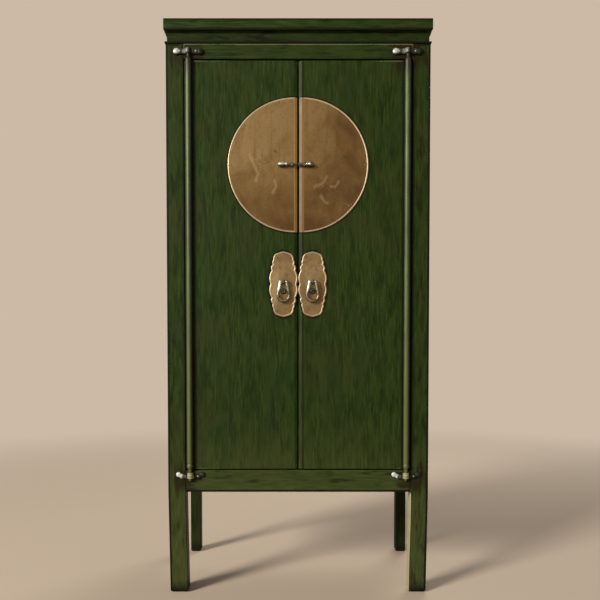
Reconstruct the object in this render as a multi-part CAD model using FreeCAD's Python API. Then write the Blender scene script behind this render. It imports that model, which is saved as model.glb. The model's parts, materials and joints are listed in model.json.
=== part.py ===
import FreeCAD
import Part
import os

# Overall sizes, in millimetres. X runs to the right, the doors face -Y, Z is up.
carcass_width = 857.0
carcass_depth = 490.0
overall_height = 1868.0

# Posts
front_post_width = 58.0
front_post_depth = 45.0
rear_post_width = 40.0
rear_post_depth = 42.0
front_leg_lean = 6.0

# Heights of the front, from the floor up
leg_clearance = 334.0
bottom_rail_height = 73.0
top_rail_height = 48.5
bead_height = 7.0
waist_height = 31.5
top_thickness = 38.5

# Top board: four mitred members round a panel
top_overhang_side = 5.0
top_overhang_front = 10.0
top_member_width = 76.0
top_edge_round = 4.0
top_panel_thickness = 20.0

# Waist band and the bead along its foot
waist_recess = 4.0
waist_thickness = 18.0
bead_reach = 3.0

# Rails, panels and their joints
side_rail_thickness = 24.0
rear_rail_thickness = 24.0
rail_inset = 3.0
tenon_thickness = 10.0
tenon_length = 20.0
tenon_shoulder = 11.0
post_tenon_width = 16.0
post_tenon_depth = 14.0
post_tenon_entry = 18.0
panel_thickness = 10.0
groove_depth = 7.0
joint_gap = 0.15
panel_gap = 0.3

# Inside
bottom_board_thickness = 18.0
shelf_thickness = 18.0
lower_shelf_rise = 443.0
shelf_spacing = 440.0
cleat_width = 18.0
cleat_height = 26.0
shelf_gap = 1.5
stop_thickness = 14.0
stop_lap = 14.0
stop_seat = 34.0
stop_end_gap = 46.0

# Doors
door_thickness = 25.0
stop_gap = 1.0
door_head_gap = 5.0
door_foot_gap = 4.0
door_side_gap = 2.0
meeting_gap = 3.0
bevel_width = 10.0
bevel_depth = 5.0
batten_width = 45.0
batten_thickness = 16.0
batten_housing = 6.0
batten_end_gap = 34.0
batten_end_margin = 150.0
batten_count = 3

# Pivot rods, their turned ends and the pins that run in the brackets
rod_radius = 10.0
rod_collar_radius = 11.5
rod_collar_height = 5.0
rod_groove_depth = 1.2
rod_turning_step = 3.0
rod_neck_radius = 6.4
rod_post_gap = 6.5
pivot_offset = 7.0
pin_radius = 4.5
pin_gap = 0.08
pin_tail = 6.0
pin_top_gap = 3.0
thrust_gap = 0.3
rod_peg_radius = 4.0
rod_peg_entry = 9.0
rod_peg_count = 5
rod_peg_margin = 90.0

# Pivot brackets. Each lobe is (distance from the pivot, height above the middle, radius).
upper_bracket_rise = 22.0
lower_bracket_drop = 18.0
knuckle_radius = 10.0
knuckle_height = 20.0
bracket_thickness = 5.0
upper_lobes = [(14.0, 0.0, 10.0), (26.0, 0.5, 10.5), (38.5, 0.0, 11.5)]
lower_lobes = [(14.0, -3.5, 8.0), (26.0, -2.0, 9.0), (39.0, 4.0, 9.0)]
lobe_dome = 0.8
bracket_nail_lobe = 1

# Round plate in two halves
moon_radius = 217.0
moon_drop = 335.5
moon_thickness = 1.6
moon_edge_gap = 1.0
moon_nail_inset = 9.0
moon_nail_angles = [14.0, 52.0, 90.0, 128.0, 166.0]

# Handle plates. Arcs of one quarter of the outline, (through, to), as shares of the half sizes.
handle_plate_width = 92.0
handle_plate_height = 216.0
handle_plate_thickness = 2.0
handle_plate_drop = 385.0
handle_plate_gap = 1.5
handle_outline_start = (0.92, 0.0)
handle_outline_arcs = [
    ((1.0, 0.20), (0.86, 0.42)),
    ((0.92, 0.505), (0.79, 0.59)),
    ((0.83, 0.66), (0.72, 0.735)),
    ((0.66, 0.84), (0.50, 0.905)),
    ((0.26, 0.962), (0.0, 1.0)),
]
handle_nail_spots = [(0.45, 0.80), (-0.45, 0.80), (0.45, -0.80), (-0.45, -0.80)]

# Ring pulls with their staples and bosses
pull_stand_off = 9.5
pull_pivot_rise = 7.0
pull_drop = 44.0
pull_half_width = 18.5
pull_wire_radius = 4.4
pull_barrel_radius = 2.8
pull_barrel_half = 10.0
pull_eye_radius = 6.5
pull_eye_width = 8.0
pull_gap = 0.08
boss_radius = 9.5
boss_height = 6.0
boss_dome = [(0.55, 0.9), (0.85, 0.55)]
boss_dimple_radius = 3.0
boss_stem_radius = 2.5
boss_stem_length = 14.0
boss_drop = 30.0

# Bolt on the left door, keeper on the right door
bolt_stand_off = 9.0
bolt_radius = 4.0
bolt_gap = 0.08
bolt_nose_radius = 2.6
bolt_head_radius = 7.5
bolt_head_length = 32.0
knob_end = 0.55
knob_shoulder = 0.75
bolt_stroke = 9.5
bolt_stop_gap = 0.5
bolt_edge_gap = 0.75
staple_distance = 20.0
staple_eye_radius = 7.0
staple_eye_width = 8.0
keeper_bore_gap = 1.2
keeper_wall = 1.4
keeper_end_gap = 3.5
keeper_tail = 2.0
keeper_knob_length = 26.0

# Staple shanks, split legs behind the door, and nails
shank_radius = 3.0
split_leg_length = 20.0
split_leg_width = 5.0
split_leg_thickness = 2.0
nail_head_radius = 2.6
nail_head_height = 1.3
nail_dome = (0.6, 0.8)
nail_shank_radius = 1.2
nail_shank_length = 14.0
bracket_nail_head_radius = 3.6

# Heights and lines worked out from the sizes above
half_width = carcass_width / 2
opening_half = half_width - front_post_width
bottom_rail_top = leg_clearance + bottom_rail_height
post_top = overall_height - top_thickness - waist_height - bead_height
top_rail_bottom = post_top - top_rail_height
waist_top = overall_height - top_thickness
door_foot = bottom_rail_top + door_foot_gap
door_head = top_rail_bottom - door_head_gap
door_outer = opening_half - door_side_gap
meeting_edge = meeting_gap / 2
bevel_start = meeting_edge + bevel_width
front_rail_thickness = door_thickness + stop_gap
pivot_x = opening_half - rod_radius - rod_post_gap
upper_bracket_middle = top_rail_bottom + upper_bracket_rise
lower_bracket_middle = bottom_rail_top - lower_bracket_drop
lower_shelf_height = bottom_rail_top + lower_shelf_rise
upper_shelf_height = lower_shelf_height + shelf_spacing
moon_height = door_head - moon_drop
handle_plate_middle = moon_height - handle_plate_drop
pull_pivot_height = handle_plate_middle + pull_pivot_rise
boss_middle = pull_pivot_height - boss_drop

# The box of the whole cabinet is centred on Y = 0
hardware_reach = max(
    pivot_offset + rod_collar_radius,
    pivot_offset + knuckle_radius,
    moon_thickness + bolt_stand_off + max(bolt_head_radius, staple_eye_radius),
    handle_plate_thickness + pull_stand_off + pull_eye_radius,
    top_overhang_front,
)
front_y = (hardware_reach - carcass_depth) / 2
rear_y = front_y + carcass_depth
door_back = front_y + door_thickness
pivot_y = front_y - pivot_offset
front_post_back = front_y + front_post_depth
rear_post_front = rear_y - rear_post_depth
side_rail_outer = half_width - rail_inset
side_rail_inner = side_rail_outer - side_rail_thickness
side_panel_middle = side_rail_outer - side_rail_thickness / 2
side_panel_inner = side_panel_middle - panel_thickness / 2
rear_rail_front = rear_y - rail_inset - rear_rail_thickness
back_panel_middle = rear_rail_front + rear_rail_thickness / 2
back_panel_inner = back_panel_middle - panel_thickness / 2
moon_front = front_y - moon_thickness
bolt_y = moon_front - bolt_stand_off
handle_front = front_y - handle_plate_thickness
pull_y = handle_front - pull_stand_off
handle_x = handle_plate_gap + handle_plate_width / 2
bolt_head_inner = staple_distance + staple_eye_width / 2 + bolt_stroke + bolt_stop_gap
bolt_head_outer = bolt_head_inner + bolt_head_length
keeper_bore_radius = bolt_nose_radius + keeper_bore_gap
keeper_sleeve_radius = keeper_bore_radius + keeper_wall
keeper_sleeve_end = bolt_edge_gap + bolt_stroke + keeper_end_gap
bolt_nose_start = keeper_sleeve_end + bolt_edge_gap
keeper_knob_start = staple_distance + staple_eye_width / 2 + keeper_tail
waist_rear_y = rear_y - bead_reach
waist_depth = waist_recess + waist_thickness
post_tenon_x = half_width - waist_depth - panel_gap - post_tenon_width
front_post_tenon_y = front_y + waist_depth + panel_gap
rear_post_tenon_y = waist_rear_y - waist_depth - panel_gap - post_tenon_depth
top_half_x = half_width + top_overhang_side
top_front_y = front_y - top_overhang_front
rear_opening_half = half_width - rear_post_width
front_rail_middle = front_y + front_rail_thickness / 2
rail_levels = [(leg_clearance, bottom_rail_height), (top_rail_bottom, top_rail_height)]
stop_half = opening_half - stop_end_gap
stop_front = front_y + front_rail_thickness
far = 2 * overall_height


def vector(x, y, z):
    return FreeCAD.Vector(x, y, z)


def box(x0, x1, y0, y1, z0, z1):
    return Part.makeBox(x1 - x0, y1 - y0, z1 - z0, vector(x0, y0, z0))


def rod_x(x0, x1, y, z, radius):
    return Part.makeCylinder(radius, x1 - x0, vector(x0, y, z), vector(1, 0, 0))


def rod_y(x, y0, y1, z, radius):
    return Part.makeCylinder(radius, y1 - y0, vector(x, y0, z), vector(0, 1, 0))


def turned(profile, base, axis):
    # profile is (radius, height) along the axis, closed along the axis itself
    across = vector(1, 0, 0)
    if abs(axis.x) > 0:
        across = vector(0, 0, 1)
    points = [base + across * radius + axis * height for radius, height in profile]
    wire = Part.makePolygon(points + [points[0]])
    return Part.Face(wire).revolve(base, axis, 360)


def prism(points, z0, z1):
    corners = [vector(x, y, z0) for x, y in points]
    return Part.Face(Part.makePolygon(corners + [corners[0]])).extrude(vector(0, 0, z1 - z0))


def to_left(shape):
    return shape.mirror(vector(0, 0, 0), vector(1, 0, 0))


def both_sides(shape):
    return [shape, to_left(shape)]


def fused(shapes):
    return shapes[0].fuse(shapes[1:]).removeSplitter()


def cut_all(shape, tools):
    return shape.cut(Part.makeCompound(tools))


def spread(first, last, count):
    return [first + (last - first) * step / (count - 1) for step in range(count)]


# Rails. grow is zero for the rail itself and the fitting gap for its mortises.
def tenon_box(low, high, grow):
    return box(low[0] - grow, high[0] + grow, low[1] - grow, high[1] + grow, low[2] - grow, high[2] + grow)


def cross_tenons(half_span, middle_y, z0, height, grow=0.0):
    half = tenon_thickness / 2
    reach = half_span + tenon_length
    low = (-reach, middle_y - half, z0 + tenon_shoulder)
    high = (reach, middle_y + half, z0 + height - tenon_shoulder)
    return tenon_box(low, high, grow)


def cross_rail(half_span, y0, thickness, z0, height):
    body = box(-half_span, half_span, y0, y0 + thickness, z0, z0 + height)
    return fused([body, cross_tenons(half_span, y0 + thickness / 2, z0, height)])


def side_tenons(z0, height, grow=0.0):
    half = tenon_thickness / 2
    low = (side_panel_middle - half, front_post_back - tenon_length, z0 + tenon_shoulder)
    high = (side_panel_middle + half, rear_post_front + tenon_length, z0 + height - tenon_shoulder)
    return tenon_box(low, high, grow)


def side_rail(z0, height):
    body = box(side_rail_inner, side_rail_outer, front_post_back, rear_post_front, z0, z0 + height)
    return fused([body, side_tenons(z0, height)])


# Panels held in grooves. The groove is the panel grown by its gap.
def side_panel(grow=0.0):
    half = panel_thickness / 2 + grow
    seat = groove_depth - panel_gap + grow
    return box(
        side_panel_middle - half, side_panel_middle + half,
        front_post_back - seat, rear_post_front + seat,
        bottom_rail_top - seat, top_rail_bottom + seat,
    )


def back_panel(grow=0.0):
    half = panel_thickness / 2 + grow
    seat = groove_depth - panel_gap + grow
    return box(
        -rear_opening_half - seat, rear_opening_half + seat,
        back_panel_middle - half, back_panel_middle + half,
        bottom_rail_top - seat, top_rail_bottom + seat,
    )


# Posts of the right side, with a tenon on top that enters the top frame
def post_tenon(y0, grow=0.0):
    return box(
        post_tenon_x - grow, post_tenon_x + post_tenon_width + grow,
        y0 - grow, y0 + post_tenon_depth + grow,
        post_top, waist_top + post_tenon_entry + grow,
    )


def post_cuts():
    cuts = [side_panel(panel_gap), back_panel(panel_gap)]
    for z0, height in rail_levels:
        cuts.append(cross_tenons(opening_half, front_rail_middle, z0, height, joint_gap))
        cuts.append(cross_tenons(rear_opening_half, back_panel_middle, z0, height, joint_gap))
        cuts.append(side_tenons(z0, height, joint_gap))
    return cuts


def front_post_outline():
    # seen from the front; the leg leans towards the middle below the bottom rail
    return [
        (opening_half - front_leg_lean, 0), (half_width - front_leg_lean, 0), (half_width, leg_clearance),
        (half_width, post_top), (opening_half, post_top), (opening_half, leg_clearance),
    ]


def front_post():
    corners = [vector(x, front_y, z) for x, z in front_post_outline()]
    outline = Part.makePolygon(corners + [corners[0]])
    body = Part.Face(outline).extrude(vector(0, front_post_depth, 0))
    return cut_all(fused([body, post_tenon(front_post_tenon_y)]), post_cuts())


def rear_post():
    body = box(rear_opening_half, half_width, rear_post_front, rear_y, 0, post_top)
    return cut_all(fused([body, post_tenon(rear_post_tenon_y)]), post_cuts())


# Mitred runs: a section drawn in Y and Z is drawn out along X, turned and cut at 45 degrees
def mitre(side, half_x, y0, y1):
    middle = (y0 + y1) / 2
    half_y = (y1 - y0) / 2
    inner = half_x - half_y
    plans = {
        "front": [(-half_x - far, y0 - far), (half_x + far, y0 - far), (inner, middle), (-inner, middle)],
        "rear": [(-half_x - far, y1 + far), (half_x + far, y1 + far), (inner, middle), (-inner, middle)],
        "right": [(half_x + far, y0 - far), (half_x + far, y1 + far), (inner, middle)],
    }
    return prism(plans[side], 0, far)


def top_section():
    z0 = waist_top
    z1 = overall_height
    r = top_edge_round
    lean = r * (1 - 0.5 ** 0.5)
    edges = [
        Part.LineSegment(vector(0, top_member_width, z1), vector(0, r, z1)),
        Part.Arc(vector(0, r, z1), vector(0, lean, z1 - lean), vector(0, 0, z1 - r)),
        Part.LineSegment(vector(0, 0, z1 - r), vector(0, 0, z0 + r)),
        Part.Arc(vector(0, 0, z0 + r), vector(0, lean, z0 + lean), vector(0, r, z0)),
        Part.LineSegment(vector(0, r, z0), vector(0, top_member_width, z0)),
        Part.LineSegment(vector(0, top_member_width, z0), vector(0, top_member_width, z1)),
    ]
    return Part.Face(Part.Wire([edge.toShape() for edge in edges]))


def waist_section():
    z0 = post_top
    z1 = waist_top
    foot = z0 + bead_height
    back = waist_depth
    edges = [
        Part.Arc(vector(0, 0, z0), vector(0, -bead_reach, z0 + bead_height / 2), vector(0, 0, foot)),
        Part.LineSegment(vector(0, 0, foot), vector(0, waist_recess, foot)),
        Part.LineSegment(vector(0, waist_recess, foot), vector(0, waist_recess, z1)),
        Part.LineSegment(vector(0, waist_recess, z1), vector(0, back, z1)),
        Part.LineSegment(vector(0, back, z1), vector(0, back, z0)),
        Part.LineSegment(vector(0, back, z0), vector(0, 0, z0)),
    ]
    return Part.Face(Part.Wire([edge.toShape() for edge in edges]))


def mitred_run(section, side, half_x, y0, y1):
    turns = {"front": 0, "right": 90, "rear": 180}
    seats = {"front": (0, y0), "right": (half_x, 0), "rear": (0, y1)}
    run = section.extrude(vector(2 * far, 0, 0))
    run.translate(vector(-far, 0, 0))
    run.rotate(vector(0, 0, 0), vector(0, 0, 1), turns[side])
    run.translate(vector(seats[side][0], seats[side][1], 0))
    return run.common(mitre(side, half_x, y0, y1))


def top_panel(grow=0.0):
    seat = groove_depth - panel_gap + grow
    half_x = top_half_x - top_member_width
    y0 = top_front_y + top_member_width
    y1 = rear_y - top_member_width
    tongue_half = top_panel_thickness / 4 + grow
    tongue_z = overall_height - top_panel_thickness / 2
    tongue = box(
        -half_x - seat, half_x + seat, y0 - seat, y1 + seat,
        tongue_z - tongue_half, tongue_z + tongue_half,
    )
    field = box(-half_x, half_x, y0, y1, overall_height - top_panel_thickness, overall_height)
    return fused([field, tongue])


def top_member(side):
    run = mitred_run(top_section(), side, top_half_x, top_front_y, rear_y)
    cuts = [top_panel(panel_gap)]
    for y0 in (front_post_tenon_y, rear_post_tenon_y):
        cuts += both_sides(post_tenon(y0, joint_gap))
    return cut_all(run, cuts)


def waist_member(side):
    return mitred_run(waist_section(), side, half_width, front_y, waist_rear_y)


# Inside of the carcass
def inner_board(top, thickness, half_x, y0, y1):
    board = box(-half_x, half_x, y0, y1, top - thickness, top)
    corners = []
    for x0, ya, yb in (
        (opening_half, front_y, front_post_back),
        (rear_opening_half, rear_post_front, rear_y),
    ):
        notch = box(x0 - shelf_gap, half_width, ya - shelf_gap, yb + shelf_gap, 0, overall_height)
        corners += both_sides(notch)
    return cut_all(board, corners)


def bottom_board():
    return inner_board(bottom_rail_top, bottom_board_thickness, side_rail_inner, stop_front, rear_rail_front)


def shelf(top):
    return inner_board(top, shelf_thickness, side_panel_inner, front_post_back + shelf_gap, back_panel_inner)


def cleat(outer, board_bottom):
    return box(
        outer - cleat_width, outer, front_post_back, rear_post_front,
        board_bottom - cleat_height, board_bottom,
    )


def cleats():
    group = []
    for top in (lower_shelf_height, upper_shelf_height):
        group += both_sides(cleat(side_panel_inner, top - shelf_thickness))
    group += both_sides(cleat(side_rail_inner, bottom_rail_top - bottom_board_thickness))
    return Part.makeCompound(group)


def upper_stop():
    return box(
        -stop_half, stop_half, stop_front, stop_front + stop_thickness,
        door_head - stop_lap, top_rail_bottom + stop_seat,
    )


def lower_stop():
    return box(
        -stop_half, stop_half, stop_front, stop_front + stop_thickness,
        bottom_rail_top, door_foot + stop_lap,
    )


# Nails: a domed head on a face that looks along -Y, and a straight shank behind it
def nail(x, face_y, z, head_radius):
    profile = [
        (0.0, nail_head_height),
        (head_radius * nail_dome[0], nail_head_height * nail_dome[1]),
        (head_radius, 0.0),
        (nail_shank_radius, 0.0),
        (nail_shank_radius, -nail_shank_length),
        (0.0, -nail_shank_length),
    ]
    return turned(profile, vector(x, face_y, z), vector(0, -1, 0))


# Pivot brackets of the right door: a knuckle with a bore, and lobed wings on the frame's face
def frame_front():
    return box(-far, far, front_y - far, front_y, 0, far)


def wing_lobe(side, lobe, middle):
    distance, height, radius = lobe
    centre = vector(pivot_x + side * distance, front_y, middle + height)
    disc = rod_y(centre.x, front_y - bracket_thickness, front_y, centre.z, radius)
    dome = Part.makeSphere(radius * lobe_dome, centre)
    return disc.fuse(dome.common(frame_front()))


def bracket_nails(middle, lobes):
    distance, height, radius = lobes[bracket_nail_lobe]
    face = front_y - radius * lobe_dome
    spots = [pivot_x + side * distance for side in (-1, 1)]
    return [nail(x, face, middle + height, bracket_nail_head_radius) for x in spots]


def bracket(middle, lobes, through):
    z0 = middle - knuckle_height / 2
    knuckle = Part.makeCylinder(knuckle_radius, knuckle_height, vector(pivot_x, pivot_y, z0))
    root = box(pivot_x - knuckle_radius, pivot_x + knuckle_radius, pivot_y, front_y, z0, z0 + knuckle_height)
    pieces = [knuckle.common(frame_front()), root]
    for side in (-1, 1):
        pieces += [wing_lobe(side, lobe, middle) for lobe in lobes]
    bore_depth = knuckle_height
    if not through:
        bore_depth = knuckle_height - pin_top_gap / 2
    bore = Part.makeCylinder(pin_radius + pin_gap, bore_depth, vector(pivot_x, pivot_y, z0))
    return cut_all(fused(pieces), [bore] + bracket_nails(middle, lobes))


def upper_bracket():
    return bracket(upper_bracket_middle, upper_lobes, False)


def lower_bracket():
    return bracket(lower_bracket_middle, lower_lobes, True)


def right_bracket_nails():
    return bracket_nails(upper_bracket_middle, upper_lobes) + bracket_nails(lower_bracket_middle, lower_lobes)


# Pivot rod of the right door: turned ends, pins and a flat that lies on the door
def rod_profile():
    low_seat = lower_bracket_middle + knuckle_height / 2 + thrust_gap
    low_tip = lower_bracket_middle - knuckle_height / 2 - pin_tail
    high_seat = upper_bracket_middle - knuckle_height / 2 - thrust_gap
    high_tip = upper_bracket_middle + knuckle_height / 2 - pin_top_gap
    groove = rod_radius - rod_groove_depth
    collar_low = door_foot + 2 * rod_turning_step
    collar_high = door_head - 2 * rod_turning_step
    low_end = [
        (0.0, low_tip), (pin_radius, low_tip), (pin_radius, low_seat), (rod_neck_radius, low_seat),
        (rod_neck_radius, door_foot), (rod_collar_radius, collar_low),
        (rod_collar_radius, collar_low + rod_collar_height),
        (groove, collar_low + rod_collar_height + rod_turning_step),
        (rod_radius, collar_low + rod_collar_height + 2 * rod_turning_step),
    ]
    high_end = [
        (rod_radius, collar_high - rod_collar_height - 2 * rod_turning_step),
        (groove, collar_high - rod_collar_height - rod_turning_step),
        (rod_collar_radius, collar_high - rod_collar_height),
        (rod_collar_radius, collar_high), (rod_neck_radius, door_head),
        (rod_neck_radius, high_seat), (pin_radius, high_seat), (pin_radius, high_tip), (0.0, high_tip),
    ]
    return low_end + high_end


def rod_pegs():
    heights = spread(door_foot + rod_peg_margin, door_head - rod_peg_margin, rod_peg_count)
    return [rod_y(pivot_x, front_y - rod_peg_entry, door_back, z, rod_peg_radius) for z in heights]


def pivot_rod():
    rod = turned(rod_profile(), vector(pivot_x, pivot_y, 0), vector(0, 0, 1))
    behind = box(0, far, front_y, far, 0, far)
    return cut_all(rod, [behind] + rod_pegs())


# Door board of the right door with its battens
def battens():
    heights = spread(door_foot + batten_end_margin, door_head - batten_end_margin, batten_count)
    return [
        box(
            bevel_start + batten_end_gap, door_outer - batten_end_gap,
            door_back - batten_housing, door_back - batten_housing + batten_thickness,
            z - batten_width / 2, z + batten_width / 2,
        )
        for z in heights
    ]


def door_blank():
    plan = [
        (door_outer, front_y), (bevel_start, front_y), (meeting_edge, front_y + bevel_depth),
        (meeting_edge, door_back), (door_outer, door_back),
    ]
    return prism(plan, door_foot, door_head)


# Half of the round plate: a sheet that lies on the door and bends down over the bevel
def moon_plate():
    bevel_length = (bevel_width ** 2 + bevel_depth ** 2) ** 0.5
    normal_x = -bevel_depth / bevel_length
    normal_y = -bevel_width / bevel_length
    edge_x = meeting_edge + moon_edge_gap
    edge_y = front_y + bevel_depth * (bevel_start - edge_x) / bevel_width
    bend = moon_thickness * (bevel_length - bevel_width) / bevel_depth
    plan = [
        (far, front_y), (bevel_start, front_y), (edge_x, edge_y),
        (edge_x + normal_x * moon_thickness, edge_y + normal_y * moon_thickness),
        (bevel_start - bend, moon_front), (far, moon_front),
    ]
    sheet = prism(plan, moon_height - moon_radius, moon_height + moon_radius)
    disc = rod_y(bevel_start, front_y - far, front_y + far, moon_height, moon_radius)
    strip = box(
        -bevel_width, bevel_start, front_y - far, front_y + far,
        moon_height - moon_radius, moon_height + moon_radius,
    )
    plate = sheet.common(disc.fuse(strip))
    return cut_all(plate, moon_nails() + [staple_shank(staple_distance, moon_height)])


def moon_nails():
    ring = moon_radius - moon_nail_inset
    group = []
    for angle in moon_nail_angles:
        spot = FreeCAD.Rotation(vector(0, 1, 0), angle).multVec(vector(0, 0, ring))
        group.append(nail(bevel_start + spot.x, moon_front, moon_height + spot.z, nail_head_radius))
    return group


# Handle plate: one quarter of its outline is mirrored three times
def handle_point(share, flip_x, flip_z):
    x = handle_x + flip_x * share[0] * handle_plate_width / 2
    z = handle_plate_middle + flip_z * share[1] * handle_plate_height / 2
    return vector(x, handle_front, z)


def handle_outline():
    edges = []
    for flip_x in (1, -1):
        for flip_z in (1, -1):
            start = handle_point(handle_outline_start, flip_x, flip_z)
            for through, to in handle_outline_arcs:
                end = handle_point(to, flip_x, flip_z)
                edges.append(Part.Arc(start, handle_point(through, flip_x, flip_z), end).toShape())
                start = end
    return Part.Wire(Part.__sortEdges__(edges))


def handle_nails():
    spots = [handle_point(share, 1, 1) for share in handle_nail_spots]
    return [nail(spot.x, handle_front, spot.z, nail_head_radius) for spot in spots]


def handle_plate():
    plate = Part.Face(handle_outline()).extrude(vector(0, handle_plate_thickness, 0))
    cuts = handle_nails() + [staple_shank(handle_x, pull_pivot_height), boss_stem()]
    return cut_all(plate, cuts)


# Staples: an eye in front of the door, a shank through it and two legs bent apart behind it
def staple_shank(x, z):
    return rod_y(x, front_y - far, door_back, z, shank_radius)


def staple_legs(x, z):
    half = split_leg_width / 2
    return box(
        x - half, x + half, door_back, door_back + split_leg_thickness,
        z - split_leg_length, z + split_leg_length,
    )


def staple(x, eye_y, z, eye_radius, eye_width, bore_radius):
    eye = rod_x(x - eye_width / 2, x + eye_width / 2, eye_y, z, eye_radius)
    shank = rod_y(x, eye_y, door_back, z, shank_radius)
    bore = rod_x(x - eye_width, x + eye_width, eye_y, z, bore_radius)
    return fused([eye, shank, staple_legs(x, z)]).cut(bore)


def lock_staple():
    bore = bolt_radius + bolt_gap
    return staple(staple_distance, bolt_y, moon_height, staple_eye_radius, staple_eye_width, bore)


def pull_staple():
    bore = pull_barrel_radius + pull_gap
    return staple(handle_x, pull_y, pull_pivot_height, pull_eye_radius, pull_eye_width, bore)


# Boss inside the ring, with a stem driven into the door
def boss_stem():
    return rod_y(handle_x, handle_front, handle_front + boss_stem_length, boss_middle, boss_stem_radius)


def pull_boss():
    base = vector(handle_x, handle_front, boss_middle)
    profile = [(0.0, boss_height)]
    profile += [(boss_radius * out, boss_height * up) for out, up in boss_dome]
    profile += [(boss_radius, 0.0), (0.0, 0.0)]
    dome = turned(profile, base, vector(0, -1, 0))
    dimple = Part.makeSphere(boss_dimple_radius, base + vector(0, -boss_height, 0))
    return fused([dome.cut(dimple), boss_stem()])


# Ring pull: a barrel through the staple, two arms that spread and a round foot
def pull_touch():
    # where an arm from the barrel's end meets the round foot, seen from the middle of the foot
    span = (pull_barrel_half ** 2 + pull_drop ** 2) ** 0.5
    out = vector(pull_barrel_half / span, 0, pull_drop / span)
    along = pull_half_width ** 2 / span
    across = (pull_half_width ** 2 - along ** 2) ** 0.5
    return out * along + vector(out.z, 0, -out.x) * across


def pull_ring():
    top = vector(handle_x, pull_y, pull_pivot_height)
    middle = top - vector(0, 0, pull_drop)
    touch = pull_touch()
    right_end = top + vector(pull_barrel_half, 0, 0)
    left_end = top - vector(pull_barrel_half, 0, 0)
    right_touch = middle + touch
    left_touch = middle + vector(-touch.x, 0, touch.z)
    foot = middle - vector(0, 0, pull_half_width)
    path = [
        Part.LineSegment(right_end, right_touch),
        Part.Arc(right_touch, foot, left_touch),
        Part.LineSegment(left_touch, left_end),
    ]
    spine = Part.Wire([edge.toShape() for edge in path])
    section = Part.Wire(Part.makeCircle(pull_wire_radius, right_end, right_touch - right_end))
    loop = spine.makePipeShell([section], True, False)
    knobs = [Part.makeSphere(pull_wire_radius, end) for end in (right_end, left_end)]
    barrel = rod_x(left_end.x, right_end.x, pull_y, top.z, pull_barrel_radius)
    return fused([loop, barrel] + knobs)


# Bolt, stored drawn back, and the keeper that it enters
def knob(end, shoulder):
    # the knob's (radius, place) pairs from its domed end to its shoulder
    step = (shoulder - end) / 4
    return [
        (0.0, end), (bolt_head_radius * knob_end, end), (bolt_head_radius, end + step),
        (bolt_head_radius, shoulder - step), (bolt_head_radius * knob_shoulder, shoulder),
    ]


def lock_bolt():
    profile = knob(-bolt_head_outer, -bolt_head_inner) + [
        (bolt_radius, -bolt_head_inner), (bolt_radius, -bolt_nose_start),
        (bolt_nose_radius, -bolt_nose_start), (bolt_nose_radius, -bolt_edge_gap), (0.0, -bolt_edge_gap),
    ]
    return turned(profile, vector(0, bolt_y, moon_height), vector(1, 0, 0))


def keeper():
    profile = knob(keeper_knob_start + keeper_knob_length, keeper_knob_start) + [
        (bolt_radius, keeper_knob_start), (bolt_radius, keeper_sleeve_end), (0.0, keeper_sleeve_end),
    ]
    return turned(profile, vector(0, bolt_y, moon_height), vector(1, 0, 0))


def keeper_sleeve():
    sleeve = rod_x(bolt_edge_gap, keeper_sleeve_end, bolt_y, moon_height, keeper_sleeve_radius)
    return sleeve.cut(rod_x(0, keeper_sleeve_end, bolt_y, moon_height, keeper_bore_radius))


def door_nails():
    return moon_nails() + handle_nails()


def door_board():
    shanks = [staple_shank(staple_distance, moon_height), staple_shank(handle_x, pull_pivot_height)]
    return cut_all(door_blank(), battens() + rod_pegs() + door_nails() + shanks + [boss_stem()])


# Frame pieces that the bracket nails enter
def nailed(shape):
    nails = right_bracket_nails()
    return cut_all(shape, nails + [to_left(item) for item in nails])


def front_rail(z0, height):
    return nailed(cross_rail(opening_half, front_y, front_rail_thickness, z0, height))


def rear_rail(z0, height):
    rail = cross_rail(rear_opening_half, rear_rail_front, rear_rail_thickness, z0, height)
    return rail.cut(back_panel(panel_gap))


def right_rail(z0, height):
    front_tenon = cross_tenons(opening_half, front_rail_middle, z0, height, joint_gap)
    rear_tenon = cross_tenons(rear_opening_half, back_panel_middle, z0, height, joint_gap)
    return cut_all(side_rail(z0, height), [side_panel(panel_gap), front_tenon, rear_tenon])


def rail_nodes():
    nodes = {}
    for level, (z0, height) in zip(("bottom", "top"), rail_levels):
        nodes["front_%s_rail" % level] = front_rail(z0, height)
        nodes["rear_%s_rail" % level] = rear_rail(z0, height)
        nodes["right_%s_rail" % level] = right_rail(z0, height)
        nodes["left_%s_rail" % level] = to_left(right_rail(z0, height))
    return nodes


def paired_nodes():
    # right-hand pieces that have a mirrored twin on the left
    return {
        "front_%s_post": nailed(front_post()),
        "rear_%s_post": rear_post(),
        "%s_side_panel": side_panel(),
        "waist_%s": waist_member("right"),
        "top_%s_member": top_member("right"),
        "upper_%s_bracket": upper_bracket(),
        "lower_%s_bracket": lower_bracket(),
        "%s_door_board": door_board(),
        "%s_pivot_rod": pivot_rod(),
        "%s_rod_pegs": Part.makeCompound(rod_pegs()),
        "%s_door_battens": Part.makeCompound(battens()),
        "%s_moon_plate": moon_plate(),
        "%s_handle_plate": handle_plate(),
        "%s_plate_nails": Part.makeCompound(door_nails()),
        "%s_lock_staple": lock_staple(),
        "%s_pull_staple": pull_staple(),
        "%s_pull_boss": pull_boss(),
        "%s_pull_ring": pull_ring(),
    }


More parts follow.
